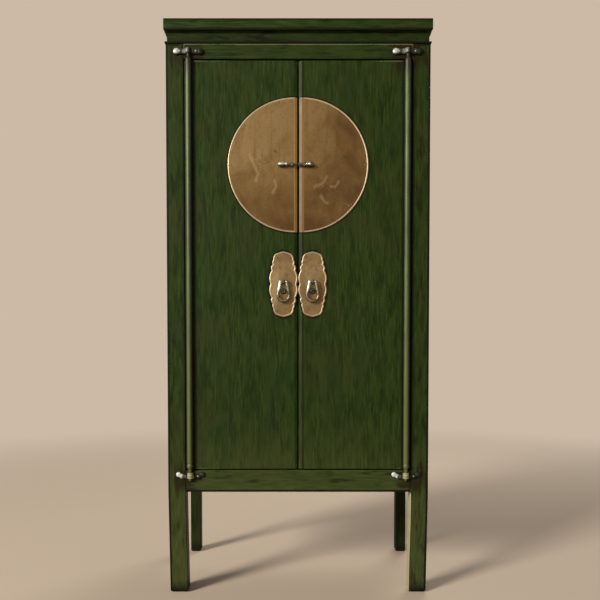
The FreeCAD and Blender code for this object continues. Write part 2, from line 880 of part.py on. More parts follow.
def single_nodes():
    nails = right_bracket_nails()
    return {
        "waist_front": waist_member("front"),
        "waist_rear": waist_member("rear"),
        "top_front_member": top_member("front"),
        "top_rear_member": top_member("rear"),
        "top_panel": top_panel(),
        "back_panel": back_panel(),
        "bottom_board": bottom_board(),
        "lower_shelf": shelf(lower_shelf_height),
        "upper_shelf": shelf(upper_shelf_height),
        "shelf_cleats": cleats(),
        "upper_door_stop": upper_stop(),
        "lower_door_stop": lower_stop(),
        "bracket_nails": Part.makeCompound(nails + [to_left(item) for item in nails]),
        "lock_bolt": lock_bolt(),
        "right_keeper": keeper(),
        "right_keeper_sleeve": keeper_sleeve(),
    }


def build():
    nodes = rail_nodes()
    nodes.update(single_nodes())
    for pattern, shape in paired_nodes().items():
        nodes[pattern % "right"] = shape
        nodes[pattern % "left"] = to_left(shape)
    return nodes


os.makedirs("parts", exist_ok=True)
for name, shape in build().items():
    shape.exportStep("parts/%s.step" % name)
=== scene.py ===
import bmesh
import bpy
import json
import math
from mathutils import Matrix, Vector

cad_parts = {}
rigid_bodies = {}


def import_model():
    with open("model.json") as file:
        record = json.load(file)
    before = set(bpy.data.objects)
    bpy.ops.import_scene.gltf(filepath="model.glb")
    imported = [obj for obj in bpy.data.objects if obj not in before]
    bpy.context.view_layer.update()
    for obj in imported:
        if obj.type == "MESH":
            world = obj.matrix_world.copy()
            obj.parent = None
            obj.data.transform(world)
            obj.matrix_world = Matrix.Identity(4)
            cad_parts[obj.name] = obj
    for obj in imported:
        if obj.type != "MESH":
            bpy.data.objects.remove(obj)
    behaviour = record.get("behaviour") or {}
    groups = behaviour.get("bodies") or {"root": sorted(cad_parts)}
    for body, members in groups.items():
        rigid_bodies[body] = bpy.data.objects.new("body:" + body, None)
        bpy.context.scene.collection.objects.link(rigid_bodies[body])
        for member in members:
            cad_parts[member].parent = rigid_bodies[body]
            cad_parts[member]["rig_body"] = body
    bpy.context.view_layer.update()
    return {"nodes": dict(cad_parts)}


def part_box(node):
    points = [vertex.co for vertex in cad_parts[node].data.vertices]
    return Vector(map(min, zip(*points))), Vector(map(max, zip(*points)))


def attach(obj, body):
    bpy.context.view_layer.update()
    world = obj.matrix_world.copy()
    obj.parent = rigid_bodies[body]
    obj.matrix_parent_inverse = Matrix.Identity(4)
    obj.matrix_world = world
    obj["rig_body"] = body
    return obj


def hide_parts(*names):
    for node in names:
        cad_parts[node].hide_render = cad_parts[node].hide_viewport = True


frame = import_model()
print("frame loaded with", len(frame["nodes"]), "nodes")

# lines of the cabinet, read from the frame
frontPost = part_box("front_right_post")
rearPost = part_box("rear_right_post")
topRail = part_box("front_top_rail")
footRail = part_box("front_bottom_rail")
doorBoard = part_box("right_door_board")
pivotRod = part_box("right_pivot_rod")
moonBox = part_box("right_moon_plate")
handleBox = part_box("right_handle_plate")
frontFace = frontPost[0].y
postTop = topRail[1].z
halfWidth = frontPost[1].x
legLook = {"lean": 0.006, "top": footRail[0].z}
openingHalf = frontPost[0].x + legLook["lean"]
rearOpening = rearPost[0].x
rodAxis = (pivotRod[0].x + pivotRod[1].x) / 2
moonMiddle = (moonBox[0].z + moonBox[1].z) / 2
sides = {"right": 1, "left": -1}


# materials

def addNode(place, kind, settings=None, **inputs):  # place is a node tree or any socket in it
    node = place.id_data.nodes.new(kind)
    for key, value in (settings or {}).items():
        setattr(node, key, value)
    for key, value in inputs.items():
        fillSocket(node.inputs[key.replace("_", " ")], value)
    return node


def fillSocket(socket, value):  # value is another socket or a constant
    if isinstance(value, bpy.types.NodeSocket):
        socket.id_data.links.new(value, socket)
    else:
        socket.default_value = value


def newMaterial(name, **constants):
    material = bpy.data.materials.new(name)
    material.use_nodes = True
    shader = material.node_tree.nodes["Principled BSDF"]
    for key, value in constants.items():
        shader.inputs[key.replace("_", " ")].default_value = value
    return material, material.node_tree, shader


def objectCoords(tree):
    return addNode(tree, "ShaderNodeTexCoord").outputs["Object"]


def splitCoords(coords):
    return addNode(coords, "ShaderNodeSeparateXYZ", Vector=coords).outputs


def wearAndLightMarks(place):  # how worn each point is, as its piece was marked; on some pieces the marks are painted highlight or painted shade
    return addNode(place, "ShaderNodeAttribute", {"attribute_name": "wear"}).outputs["Fac"]


def mixColour(factor, first, second):
    node = addNode(factor, "ShaderNodeMix", {"data_type": "RGBA"})
    fillSocket(node.inputs[0], factor)
    for socket, colour in zip((node.inputs[6], node.inputs[7]), (first, second)):
        fillSocket(socket, (*colour, 1.0) if isinstance(colour, tuple) else colour)
    return node.outputs[2]


def ramp(factor, *stops):  # stops are (place, colour)
    node = addNode(factor, "ShaderNodeValToRGB", Fac=factor)
    spots = node.color_ramp.elements
    while len(spots) < len(stops):
        spots.new(0.5)
    for spot, (place, colour) in zip(spots, stops):
        spot.position = place
        spot.color = (*colour, 1.0)
    return node.outputs["Color"]


def band(value, low, high, toLow=0.0, toHigh=1.0):  # eases from toLow at low to toHigh at high
    settings = {"interpolation_type": "SMOOTHSTEP", "clamp": True}
    node = addNode(
        value, "ShaderNodeMapRange", settings,
        Value=value, From_Min=low, From_Max=high, To_Min=toLow, To_Max=toHigh,
    )
    return node.outputs["Result"]


def maths(operation, *values):
    node = addNode(values[0], "ShaderNodeMath", {"operation": operation})
    for socket, value in zip(node.inputs, values):
        fillSocket(socket, value)
    return node.outputs[0]


def plus(first, second):
    return maths("ADD", first, second)


def minus(first, second):
    return maths("SUBTRACT", first, second)


def times(first, second):
    return maths("MULTIPLY", first, second)


def larger(first, second):
    return maths("MAXIMUM", first, second)


def unsigned(value):
    return maths("ABSOLUTE", value)


def vectorMaths(operation, *values):
    node = addNode(values[0], "ShaderNodeVectorMath", {"operation": operation})
    for socket, value in zip(node.inputs, values):
        fillSocket(socket, value)
    single = operation in ("DISTANCE", "DOT_PRODUCT", "LENGTH")
    return node.outputs["Value" if single else "Vector"]


def noise(coords, scale, detail=3.0, rough=0.55, twist=0.0):
    node = addNode(
        coords, "ShaderNodeTexNoise",
        Vector=coords, Scale=scale, Detail=detail, Roughness=rough, Distortion=twist,
    )
    return node.outputs["Fac"]


def betweenLines(value, low, high, soft):  # one between two values, fading out beyond them
    rise = band(value, low - soft, low + soft)
    return times(rise, band(value, high - soft, high + soft, 1.0, 0.0))


def stretched(coords, axis, stretch):  # shrinks one axis, so that a pattern runs along it
    scale = [1.0, 1.0, 1.0]
    scale[axis] = stretch
    return addNode(coords, "ShaderNodeMapping", Vector=coords, Scale=scale).outputs["Vector"]


def swayed(value, pattern, amount):  # moves a value by a pattern, to both sides alike
    return plus(value, times(minus(pattern, 0.5), amount))


def tinted(shade, lift):  # lift is one factor, or one each for red, green and blue
    factors = lift if isinstance(lift, tuple) else (lift, lift, lift)
    return tuple(part * factor for part, factor in zip(shade, factors))


def setSurface(shader, colour, rough, relief, bump):  # bump is (strength, distance)
    node = addNode(relief, "ShaderNodeBump", Strength=bump[0], Distance=bump[1], Height=relief)
    fillSocket(shader.inputs["Base Color"], colour)
    fillSocket(shader.inputs["Roughness"], rough)
    fillSocket(shader.inputs["Normal"], node.outputs["Normal"])


lacquerLook = {
    "deep": (0.0100, 0.0205, 0.0028),
    "body": (0.0150, 0.0295, 0.0040),
    "pale": (0.0262, 0.0425, 0.0088),
    "olive": (0.0290, 0.0315, 0.0080),
    "cool": (0.0070, 0.0260, 0.0070),
    "scuffedAndBounce": (0.0520, 0.0620, 0.0185),
    # rubbed: paler worn edges; on the front top rail it is a painted highlight
    "rubbed": (0.1050, 0.1080, 0.0440),
    "yellowed": (0.0920, 0.1040, 0.0220),
    # painted sunlight for the right leg's inner face
    "paintedSunlight": (0.3600, 0.3300, 0.1950),
    # bared and grime: wear and dirt, also used for painted shade
    "baredAndShade": (0.0140, 0.0095, 0.0040),
    "grimeAndShade": (0.0060, 0.0062, 0.0030),
    "patterns": {  # (share along the strokes, scale, detail, roughness, twist)
        "streak": (0.09, 190.0, 5.0, 0.62, 0.0),
        "board": (0.09, 190.0 / 6, 3.0, 0.55, 0.0),
        "cloud": (1.0, 4.5, 3.0, 0.6, 0.4),
        "tint": (0.3, 17.0, 3.0, 0.6, 0.0),
        "speck": (1.0, 140.0, 3.0, 0.7, 0.0),
        "blotch": (0.2, 62.0, 4.0, 0.6, 0.0),
    },
    "strokeStops": (0.42, 0.52, 0.62),  # deep, body and pale along the streaks
    "layers": [  # (pattern, from, to, strength, shade), one over the other
        ("board", 0.42, 0.70, 0.65, "deep"),
        ("blotch", 0.42, 0.64, 0.48, "pale"),
        ("cloud", 0.45, 0.75, 0.60, "olive"),
    ],
    "pits": (0.66, 0.74),
    "pitsAmong": (0.40, 0.55),
    "coolBand": (0.50, 0.72, 0.0, 0.40),
    "smudgeBand": (0.46, 0.32),
    "roughBand": (0.25, 0.80),
    "bump": (0.30, 0.0005),
    "boardRelief": 1.5,
}


def brushStrokes(patterns, lift):  # lacquer as brushed on, before any wear
    look = lacquerLook
    shades = {key: tinted(look[key], lift) for key in ("deep", "body", "pale")}
    colour = ramp(patterns["streak"], *zip(look["strokeStops"], shades.values()))
    for pattern, low, high, strength, shade in look["layers"]:
        share = band(patterns[pattern], low, high, 0.0, strength)
        colour = mixColour(share, colour, shades.get(shade, look[shade]))
    among = band(patterns["blotch"], *look["pitsAmong"])
    pit = times(band(patterns["speck"], *look["pits"]), among)
    colour = mixColour(pit, colour, look["grimeAndShade"])
    return mixColour(band(patterns["tint"], *look["coolBand"]), colour, look["cool"])


scuffAndBounceLook = {
    "heights": (0.18, 0.68), "sway": 0.12, "shares": (0.85, 1.22),
    "foot": (-0.010, 0.035, 0.85, 0.0), "footSway": 0.03,
}


def scuffAndBounceFoot(patterns, height, colour, scuffsAndBounce, smudges):  # paler towards the floor, from scuffs and from painted floor-bounce light; dirtier there too
    look = scuffAndBounceLook
    uneven = plus(height, times(patterns["streak"], look["sway"]))
    paleBelow = band(uneven, *look["heights"], scuffsAndBounce, 0.0)
    shades = [tinted(lacquerLook["scuffedAndBounce"], share) for share in look["shares"]]
    stops = zip((lacquerLook["strokeStops"][0], lacquerLook["strokeStops"][-1]), shades)
    colour = mixColour(paleBelow, colour, ramp(patterns["streak"], *stops))
    smudge = band(patterns["blotch"], *lacquerLook["smudgeBand"], 0.0, smudges)
    colour = mixColour(smudge, colour, lacquerLook["grimeAndShade"])
    low = minus(height, times(patterns["speck"], look["footSway"]))
    return mixColour(band(low, *look["foot"]), colour, lacquerLook["grimeAndShade"])


greaseAndShadeLook = {
    "spots": [((0.3705, 0.372), 0.060), ((0.3540, 1.750), 0.062)],  # (X and Z, reach); the lower spot is a grease stain, the upper one painted shadow round the upper bracket
    "sway": 0.16, "fade": (0.4, 1.1), "strength": 0.85,
}


def greaseStainsAndShade(parts, fromSeam, blotch, colour):  # darkened round the ends of the rods: a grease stain at the lower ends, painted shadow at the upper ends
    look = greaseAndShadeLook
    place = addNode(blotch, "ShaderNodeCombineXYZ", X=fromSeam, Y=parts["Y"], Z=parts["Z"]).outputs[0]
    for (x, z), size in look["spots"]:
        gap = swayed(vectorMaths("DISTANCE", place, (x, frontFace, z)), blotch, look["sway"])
        near = [share * size for share in look["fade"]]
        colour = mixColour(band(gap, *near, look["strength"], 0.0), colour, lacquerLook["baredAndShade"])
    return colour


arrisLook = {
    "reach": {"baredAndShade": (0.60, 0.95), "rubbed": (0.60, 0.95), "grimeAndShade": (0.24, 0.62)},
    "patchiness": 1.3, "strength": 0.9,
}


def arrisWearAndShade(patterns, colour, edge):  # worn, rubbed or dirty along the arrises, in patches; the dark edges are partly painted shade, the top rail's pale edge a painted highlight
    look = arrisLook
    patchy = swayed(wearAndLightMarks(colour), patterns["cloud"], look["patchiness"])
    patchy = times(patchy, plus(patterns["speck"], 0.5))
    gone = band(patchy, *look["reach"][edge], 0.0, look["strength"])
    return mixColour(gone, colour, lacquerLook[edge])


doorDirtAndShadeLook = {
    "frontDepth": (0.0060, 0.0090),
    "seam": (0.0125, 0.0180, 0.0015), "seamStrength": 0.8,  # from, to and softness
    "paintedRodShadow": (-0.0210, -0.0120, 0.0, 0.9),
    "plateMargin": 0.0058, "plateFade": (0.965, 1.015, 0.85, 0.0),
    "moonBulge": 2.0, "handleBulge": 2.25,
}


def plateShadeRing(fromSeam, height, middle, half, bulge):  # painted shade on the door under a plate and just beyond it
    margin = doorDirtAndShadeLook["plateMargin"]
    reach = 0.0
    for place, centre, size in ((fromSeam, middle.x, half.x), (height, middle.z, half.z)):
        share = times(minus(place, centre), 1 / (size + margin))
        share = maths("POWER", unsigned(share), bulge)
        reach = plus(share, reach)
    return band(reach, *doorDirtAndShadeLook["plateFade"])


def doorDirtAndShade(parts, fromSeam, colour):  # dirt beside the meeting edge; painted shade beside the rod and round the plates
    look = doorDirtAndShadeLook
    front = band(parts["Y"], *[frontFace + depth for depth in look["frontDepth"]], 1.0, 0.0)
    seam = times(betweenLines(parts["X"], *look["seam"]), look["seamStrength"])
    colour = mixColour(times(seam, front), colour, lacquerLook["baredAndShade"])
    radius = (moonBox[1].z - moonBox[0].z) / 2
    moonCentre = Vector((moonBox[1].x - radius, 0, moonMiddle))
    moonHalf = Vector((radius, 0, radius))
    handleCentre = (handleBox[0] + handleBox[1]) / 2
    handleHalf = (handleBox[1] - handleBox[0]) / 2
    moon = plateShadeRing(fromSeam, parts["Z"], moonCentre, moonHalf, look["moonBulge"])
    handle = plateShadeRing(fromSeam, parts["Z"], handleCentre, handleHalf, look["handleBulge"])
    # painted shadow of the rod on the door beside it
    beside = band(minus(fromSeam, rodAxis), *look["paintedRodShadow"])
    paintedShade = larger(beside, larger(moon, handle))
    return mixColour(times(paintedShade, front), colour, lacquerLook["grimeAndShade"])


postPaintedLightLook = {
    "paintedRodShadow": (0.0165, 0.0300, 0.62, 0.0),
    "innerFace": (0.0012, 0.0024, 0.9, 0.0),
    "patches": (0.36, 0.58, 0.25, 1.0),
    "legFade": 0.010, "paintedSunlitSide": (-0.01, 0.01),
}


def postPaintedLight(parts, fromSeam, cloud, colour):  # painted shade beside the rod; on the legs' inner faces, painted sunlight on the right leg and painted shade on the left
    look = postPaintedLightLook
    height, legTop = parts["Z"], legLook["top"]
    # painted shadow of the rod on the post beside it
    beside = band(minus(fromSeam, rodAxis), *look["paintedRodShadow"])
    beside = times(beside, band(height, footRail[0].z, footRail[1].z))
    colour = mixColour(beside, colour, lacquerLook["grimeAndShade"])
    face = band(height, 0.0, legTop, openingHalf - legLook["lean"], openingHalf)
    inside = band(minus(fromSeam, face), *look["innerFace"])
    leg = band(height, legTop - look["legFade"], legTop, 1.0, 0.0)
    inside = times(times(inside, leg), band(cloud, *look["patches"]))
    # painted light on the legs' inner faces: pale on the right leg as if sunlit, dark on the left leg as if
    # shaded
    sunny = band(parts["X"], *look["paintedSunlitSide"])
    shade = mixColour(sunny, lacquerLook["baredAndShade"], lacquerLook["paintedSunlight"])
    return mixColour(inside, colour, shade)


rodYellowingAndShadeLook = {
    "yellowHeights": (0.45, 1.25, 0.75, 0.0),
    "paintedShadeFlanks": [(-0.0080, -0.0100, 0.0, 0.9), (0.0006, 0.0062, 0.0, 0.9)],
}


def rodYellowingAndShade(parts, fromSeam, colour):  # yellowed towards the foot; painted shade along both flanks, most on the right-hand side
    look = rodYellowingAndShadeLook
    colour = mixColour(band(parts["Z"], *look["yellowHeights"]), colour, lacquerLook["yellowed"])
    # painted shade: the rod's flanks darker, most on the right-hand side, away from the light
    across = minus(fromSeam, rodAxis)
    across = times(across, maths("SIGN", parts["X"]))
    for flank in look["paintedShadeFlanks"]:
        colour = mixColour(band(across, *flank), colour, lacquerLook["grimeAndShade"])
    return colour


def greenLacquer(
    name, axis, edge="baredAndShade", lift=1.0, gloss=0.07, rough=(0.38, 0.54), dirt=None, scuffsAndBounce=0.7, smudges=0.3,
):  # its strokes run along one axis
    look = lacquerLook
    material, tree, shader = newMaterial(name, Specular_IOR_Level=gloss)
    coords = objectCoords(tree)
    parts = splitCoords(coords)
    fromSeam = unsigned(parts["X"])
    patterns = {
        key: noise(stretched(coords, axis, share), *settings)
        for key, (share, *settings) in look["patterns"].items()
    }
    colour = brushStrokes(patterns, lift)
    colour = scuffAndBounceFoot(patterns, parts["Z"], colour, scuffsAndBounce, smudges)
    colour = greaseStainsAndShade(parts, fromSeam, patterns["blotch"], colour)
    colour = arrisWearAndShade(patterns, colour, edge)
    # door, post and rod add painted shade as well as dirt, and the posts also painted sunlight
    if dirt == "door":
        colour = doorDirtAndShade(parts, fromSeam, colour)
    elif dirt == "post":
        colour = postPaintedLight(parts, fromSeam, patterns["cloud"], colour)
    elif dirt == "rod":
        colour = rodYellowingAndShade(parts, fromSeam, colour)
    roughness = band(patterns["streak"], *look["roughBand"], *rough)
    boards = times(patterns["board"], look["boardRelief"])
    relief = plus(patterns["streak"], boards)
    setSurface(shader, colour, roughness, relief, look["bump"])
    return material


lacquers = {
    "uprightLacquer": dict(axis=2),
    # grime edges on the posts, rails, top and waist are partly painted shade on arrises turned from the
    # light
    "postLacquer": dict(axis=2, edge="grimeAndShade", dirt="post", smudges=0.6),
    # rear posts painted darker, as painted shade under the cabinet
    "rearLacquer": dict(axis=2, lift=0.6, scuffsAndBounce=0.0),
    "crossLacquer": dict(axis=0, edge="grimeAndShade", lift=1.06, scuffsAndBounce=1.0, smudges=0.6),
    "deepLacquer": dict(axis=1, edge="grimeAndShade"),
    "doorLacquer": dict(axis=2, edge="rubbed", dirt="door", scuffsAndBounce=0.9),
    # the waist band is painted darker, as painted shade under the top board's overhang
    "waistLacquer": dict(axis=0, edge="grimeAndShade", lift=0.66, smudges=0.9),
    "waistSideLacquer": dict(axis=1, edge="grimeAndShade", lift=0.66, smudges=0.9),
    # the front top rail, with a painted highlight along its upper arris
    "rubbedLacquer": dict(axis=0, edge="rubbed", smudges=0.5),
    "rodLacquer": dict(axis=2, edge="rubbed", lift=2.6, gloss=0.46, rough=(0.44, 0.54), dirt="rod"),
}


woodLook = {
    "dark": (0.060, 0.031, 0.014),
    "body": (0.150, 0.085, 0.040),
    "pale": (0.245, 0.150, 0.076),
    "rings": (46.0, 4.0, 0.6, 0.6),  # scale, detail, roughness and twist of each pattern
    "pores": (420.0, 2.0),
    "dirt": (7.0, 4.0, 0.65),
    "ringLength": 0.06, "poreLength": 0.02,  # shares along the grain
    "stops": (0.30, 0.50, 0.72),
    "poreBand": (0.55, 0.75, 0.0, 0.5),
    "dirtBand": (0.50, 0.80, 0.0, 0.6),
    "roughBand": (0.20, 0.80, 0.62, 0.80),
    "bump": (0.35, 0.0006),
    "gloss": 0.3,
}


def bareWood(name, axis):  # planed softwood inside, dry and a little dirty
    look = woodLook
    material, tree, shader = newMaterial(name, Specular_IOR_Level=look["gloss"])
    coords = objectCoords(tree)
    rings = noise(stretched(coords, axis, look["ringLength"]), *look["rings"])
    pores = noise(stretched(coords, axis, look["poreLength"]), *look["pores"])
    dirt = noise(coords, *look["dirt"])
    colour = ramp(rings, *zip(look["stops"], (look["dark"], look["body"], look["pale"])))
    colour = mixColour(band(pores, *look["poreBand"]), colour, look["dark"])
    colour = mixColour(band(dirt, *look["dirtBand"]), colour, look["dark"])
    setSurface(shader, colour, band(rings, *look["roughBand"]), pores, look["bump"])
    return material


woods = {"uprightWood": dict(axis=2), "crossWood": dict(axis=0), "deepWood": dict(axis=1)}


brassLook = {
    "brown": (0.125, 0.069, 0.023),
    "body": (0.215, 0.130, 0.049),
    "pale": (0.330, 0.220, 0.098),
    "polishedAndSheen": (0.640, 0.535, 0.370),
    "tarnish": (0.085, 0.040, 0.016),
    "golden": (0.430, 0.270, 0.095),
    "greyed": (0.270, 0.215, 0.160),
    "scored": (0.400, 0.290, 0.150),
    "ochre": (0.235, 0.118, 0.028),
    "cloud": (9.0, 5.0, 0.6, 0.5),  # scale, detail, roughness and twist of each pattern
    "mottle": (75.0, 4.0, 0.65),
    "rolled": (55.0, 3.0),
    "dented": (24.0, 2.0),
    "rollLength": 0.08,
    "stops": (0.32, 0.53, 0.74),  # brown, body and pale
    "rollBand": (0.50, 0.75, 0.0, 0.35),
    "tarnishBand": (0.50, 0.74),
    "rimBand": (0.25, 0.55, 0.55, 1.0),
    "roughBand": (0.30, 0.80, 0.50, 0.38),
    "mottleRelief": 0.12,
    "bump": (0.25, 0.0025),
    "metal": 0.85,
}
scratchLook = {
    "lines": [(0.45, 26.0, 0.010), (-0.85, 34.0, 0.008), (1.25, 34.0, 0.008)],  # (turn, scale, width)
    "length": 14, "gaps": (0.60, 0.70), "gapScale": 1 / 3,
}
markLook = {  # marks on the round plate, in metres from its middle: points and width
    "scored": [
        ([(-0.1525, 0.0420), (-0.1202, -0.0190), (-0.1304, -0.0429)], 0.0085),
        ([(-0.0675, -0.0429), (-0.0626, -0.0581), (-0.0726, -0.0803)], 0.0090),
        ([(0.0597, -0.0632), (0.0904, -0.0465), (0.1039, -0.0294)], 0.0085),
        ([(0.1123, -0.0600), (0.1294, -0.0616), (0.1378, -0.0429)], 0.0080),
        ([(0.0800, -0.0903), (0.1039, -0.1142)], 0.0080),
    ],
    "dents": [([(-0.0660, 0.0545), (-0.0590, 0.0480)], 0.0060)],
    "sway": 0.018, "swayScale": 28.0, "core": 0.1,
    "strength": 0.34, "dentStrength": 0.7, "shine": 0.1, "relief": 0.30,
}
foldLook = {  # (from, to, softness, strength) of each fold across the meeting line of the doors
    "golden": (-0.0130, 0.0, 0.0010, 0.62),
    "greyed": (0.0, 0.0130, 0.0010, 0.75),
    "ochre": (0.0130, 0.0192, 0.0008, 0.85),
}
seamLook = {"gap": (0.0030, 0.0042, 0.95, 0.0), "dull": 0.35}
paintedReflectionLook = {"spot": (-0.085, 0.110), "reach": (0.03, 0.27, 1.0, 0.0), "lift": 0.215}


def scratches(coords, turn, scale, width):  # thin broken lines, all leaning one way
    look = scratchLook
    turned = addNode(
        coords, "ShaderNodeMapping", {"vector_type": "TEXTURE"},
        Vector=coords, Rotation=(0, turn, 0), Scale=(1, 1, look["length"]),
    )
    field = noise(turned.outputs["Vector"], scale, 1.0)
    line = band(unsigned(minus(field, 0.5)), 0.0, width, 1.0, 0.0)
    return times(line, band(noise(coords, scale * look["gapScale"], 2.0), *look["gaps"]))


def markLine(coords, start, end, width):  # one mark along a line, seen from the front
    start, end = [Vector((x, 0, z + moonMiddle)) for x, z in (start, end)]
    run = end - start
    offset = vectorMaths("SUBTRACT", vectorMaths("MULTIPLY", coords, (1, 0, 1)), start)
    share = vectorMaths("DOT_PRODUCT", offset, run / run.length_squared)
    held = addNode(share, "ShaderNodeClamp", Value=share).outputs[0]
    foot = addNode(share, "ShaderNodeVectorMath", {"operation": "SCALE"}, Vector=run, Scale=held)
    gap = vectorMaths("DISTANCE", offset, foot.outputs["Vector"])
    return band(gap, markLook["core"] * width, width, 1.0, 0.0)


def markLines(coords, kind, marks):  # adds all marks of one kind, swayed a little
    look = markLook
    sway = addNode(coords, "ShaderNodeTexNoise", Vector=coords, Scale=look["swayScale"], Detail=3.0)
    stray = vectorMaths("MULTIPLY_ADD", sway.outputs["Color"], (look["sway"],) * 3, coords)
    for points, width in look[kind]:
        for ends in zip(points, points[1:]):
            marks = larger(markLine(stray, *ends, width), marks)
    return marks


def bentFold(colour, across):  # the plate's edge, bent over the bevels of both doors and rubbed there, with painted shade along the gap
    for shade, (low, high, soft, strength) in foldLook.items():
        share = times(betweenLines(across, low, high, soft), strength)
        colour = mixColour(share, colour, brassLook[shade])
    # painted shade: black along the gap between the doors
    black = band(unsigned(across), *seamLook["gap"])
    return mixColour(black, colour, lacquerLook["grimeAndShade"])


def paintedReflection(coords):  # painted reflection: paler round a spot at the upper left of the round plate, fading out round it
    x, z = paintedReflectionLook["spot"]
    gap = vectorMaths("DISTANCE", coords, (x, moonBox[0].y, z + moonMiddle))
    return times(band(gap, *paintedReflectionLook["reach"]), paintedReflectionLook["lift"])


def agedBrass(name, lift, lean=(0.0, 0.0), blotch=0.6, box=moonBox, moon=False):
    look = brassLook  # lean makes it paler to the left and above, as painted light from the upper left
    material, tree, shader = newMaterial(name, Metallic=look["metal"])
    coords = objectCoords(tree)
    parts = splitCoords(coords)
    cloud, mottle, dented = [noise(coords, *look[key]) for key in ("cloud", "mottle", "dented")]
    rolled = noise(stretched(coords, 2, look["rollLength"]), *look["rolled"])
    up = minus(parts["Z"], (box[0].z + box[1].z) / 2)
    # painted light: paler towards the upper left by lean
    age = plus(cloud, times(up, lean[1]))
    age = minus(age, times(parts["X"], lean[0]))
    marks = 0.0
    for line in scratchLook["lines"]:
        marks = larger(scratches(coords, *line), marks)
    if moon:
        # painted reflection on the round plate
        age = plus(age, paintedReflection(coords))
        marks = markLines(coords, "scored", marks)
    shades = [tinted(look[key], lift) for key in ("brown", "body", "pale")]
    colour = ramp(age, *zip(look["stops"], shades))
    colour = mixColour(band(rolled, *look["rollBand"]), colour, shades[0])
    colour = mixColour(band(mottle, *look["tarnishBand"], 0.0, blotch), colour, look["tarnish"])
    colour = mixColour(times(marks, markLook["strength"]), colour, look["scored"])
    sunk = marks
    if moon:
        dents = markLines(coords, "dents", 0.0)
        colour = mixColour(times(dents, markLook["dentStrength"]), colour, look["tarnish"])
        sunk = larger(marks, dents)
    # the raised rims are paler: polish, and partly a painted highlight
    rim = times(wearAndLightMarks(tree), band(mottle, *look["rimBand"]))
    colour = mixColour(rim, colour, look["polishedAndSheen"])
    rough = band(cloud, *look["roughBand"])
    rough = minus(rough, times(marks, markLook["shine"]))
    if moon:
        colour = bentFold(colour, parts["X"])
        dull = betweenLines(parts["X"], *foldLook["greyed"][:3])
        rough = plus(rough, times(dull, seamLook["dull"]))
    relief = plus(dented, times(mottle, look["mottleRelief"]))
    relief = minus(relief, times(sunk, markLook["relief"]))
    setSurface(shader, colour, rough, relief, look["bump"])
    return material


brasses = {
    # lean: painted light, paler to the upper left on the round plate and to the left on the handle plates
    "agedBrass": dict(lift=(0.65, 0.64, 0.59), lean=(0.10, 0.55), blotch=0.35, moon=True),
    "paleBrass": dict(lift=(1.05, 1.20, 1.45), lean=(0.8, 0.0), box=handleBox),
    "nailBrass": dict(lift=(0.9, 0.6, 0.6)),
}


bronzeLook = {
    "dark": (0.014, 0.014, 0.009),
    "body": (0.060, 0.060, 0.044),
    "handled": (0.420, 0.420, 0.340),
    "bright": (0.590, 0.650, 0.570),
    "smeared": (0.330, 0.330, 0.190),
    "cast": (90.0, 3.0, 0.6),  # scale, detail and roughness of each pattern
    "grain": (900.0, 2.0),
    "stops": (0.30, 0.65),  # dark and body
    "ridgeBand": (0.51, 0.60), "ridgeSway": 0.04,
    "castSway": 0.004,
    "underShares": (0.1, 1.0),
    "knuckleReach": (0.0085, 0.0115, 1.0, 0.0),
    "roughBand": (0.30, 0.70),
    "grainRelief": 0.3,
    "bump": (0.10, 0.0005),
    "gloss": 0.5,
}
paintedHighlightSpots = {  # shares: (reach from the middle, how bright the painted highlight is), from left to right
    "upper": {
        "node": "upper_right_bracket", "standsOut": (-0.0030, -0.0070), "paintedShadeBelow": (-0.0090, -0.0030),
        "shares": [
            (-0.046, 0.80), (-0.034, 0.70), (-0.028, 0.02), (-0.019, 0.10), (-0.012, 0.30), (-0.004, 0.26),
            (0.004, 0.02), (0.020, 0.05), (0.046, 0.0),
        ],
    },
    "lower": {
        "node": "lower_right_bracket", "standsOut": (-0.0024, -0.0060), "paintedShadeBelow": (-0.0110, -0.0050),
        "shares": [
            (-0.046, 0.95), (-0.032, 0.85), (-0.024, 0.16), (-0.010, 0.0), (0.014, 0.0), (0.046, 0.03),
        ],
    },
    # the pull ring: painted highlight on its left and upper side
    "pull": {
        "node": "right_pull_ring", "standsOut": (-0.0095, -0.0125), "paintedShadeBelow": (-0.0020, 0.0120),
        "shares": [(-0.022, 0.9), (-0.006, 0.9), (0.001, 0.30), (0.022, 0.16)],
    },
}


def castHighlightAndSmear(coords, colour, cast, spots, smeared):  # painted highlight to the left on the upper fronts, painted shade below; dull or smeared in the middle
    look = bronzeLook
    low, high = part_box(spots["node"])
    middle = (low + high) / 2
    parts = splitCoords(coords)
    axis = times(maths("SIGN", parts["X"]), middle.x)
    reach = minus(parts["X"], axis)
    out = swayed(parts["Y"], cast, look["castSway"])
    proud = band(out, *[frontFace + place for place in spots["standsOut"]])
    heights = [middle.z + place for place in spots["paintedShadeBelow"]]
    # painted shade below the middle, so the painted highlight stays on the upper fronts
    upper = band(parts["Z"], *heights, *look["underShares"])
    first, last = spots["shares"][0][0], spots["shares"][-1][0]
    along = times(minus(reach, first), 1 / (last - first))
    stops = [((place - first) / (last - first), (share, share, share)) for place, share in spots["shares"]]
    bright = times(times(proud, upper), ramp(along, *stops))
    colour = mixColour(bright, colour, look["bright"])
    knuckle = band(unsigned(reach), *look["knuckleReach"])
    return mixColour(times(knuckle, smeared), colour, look["smeared"])


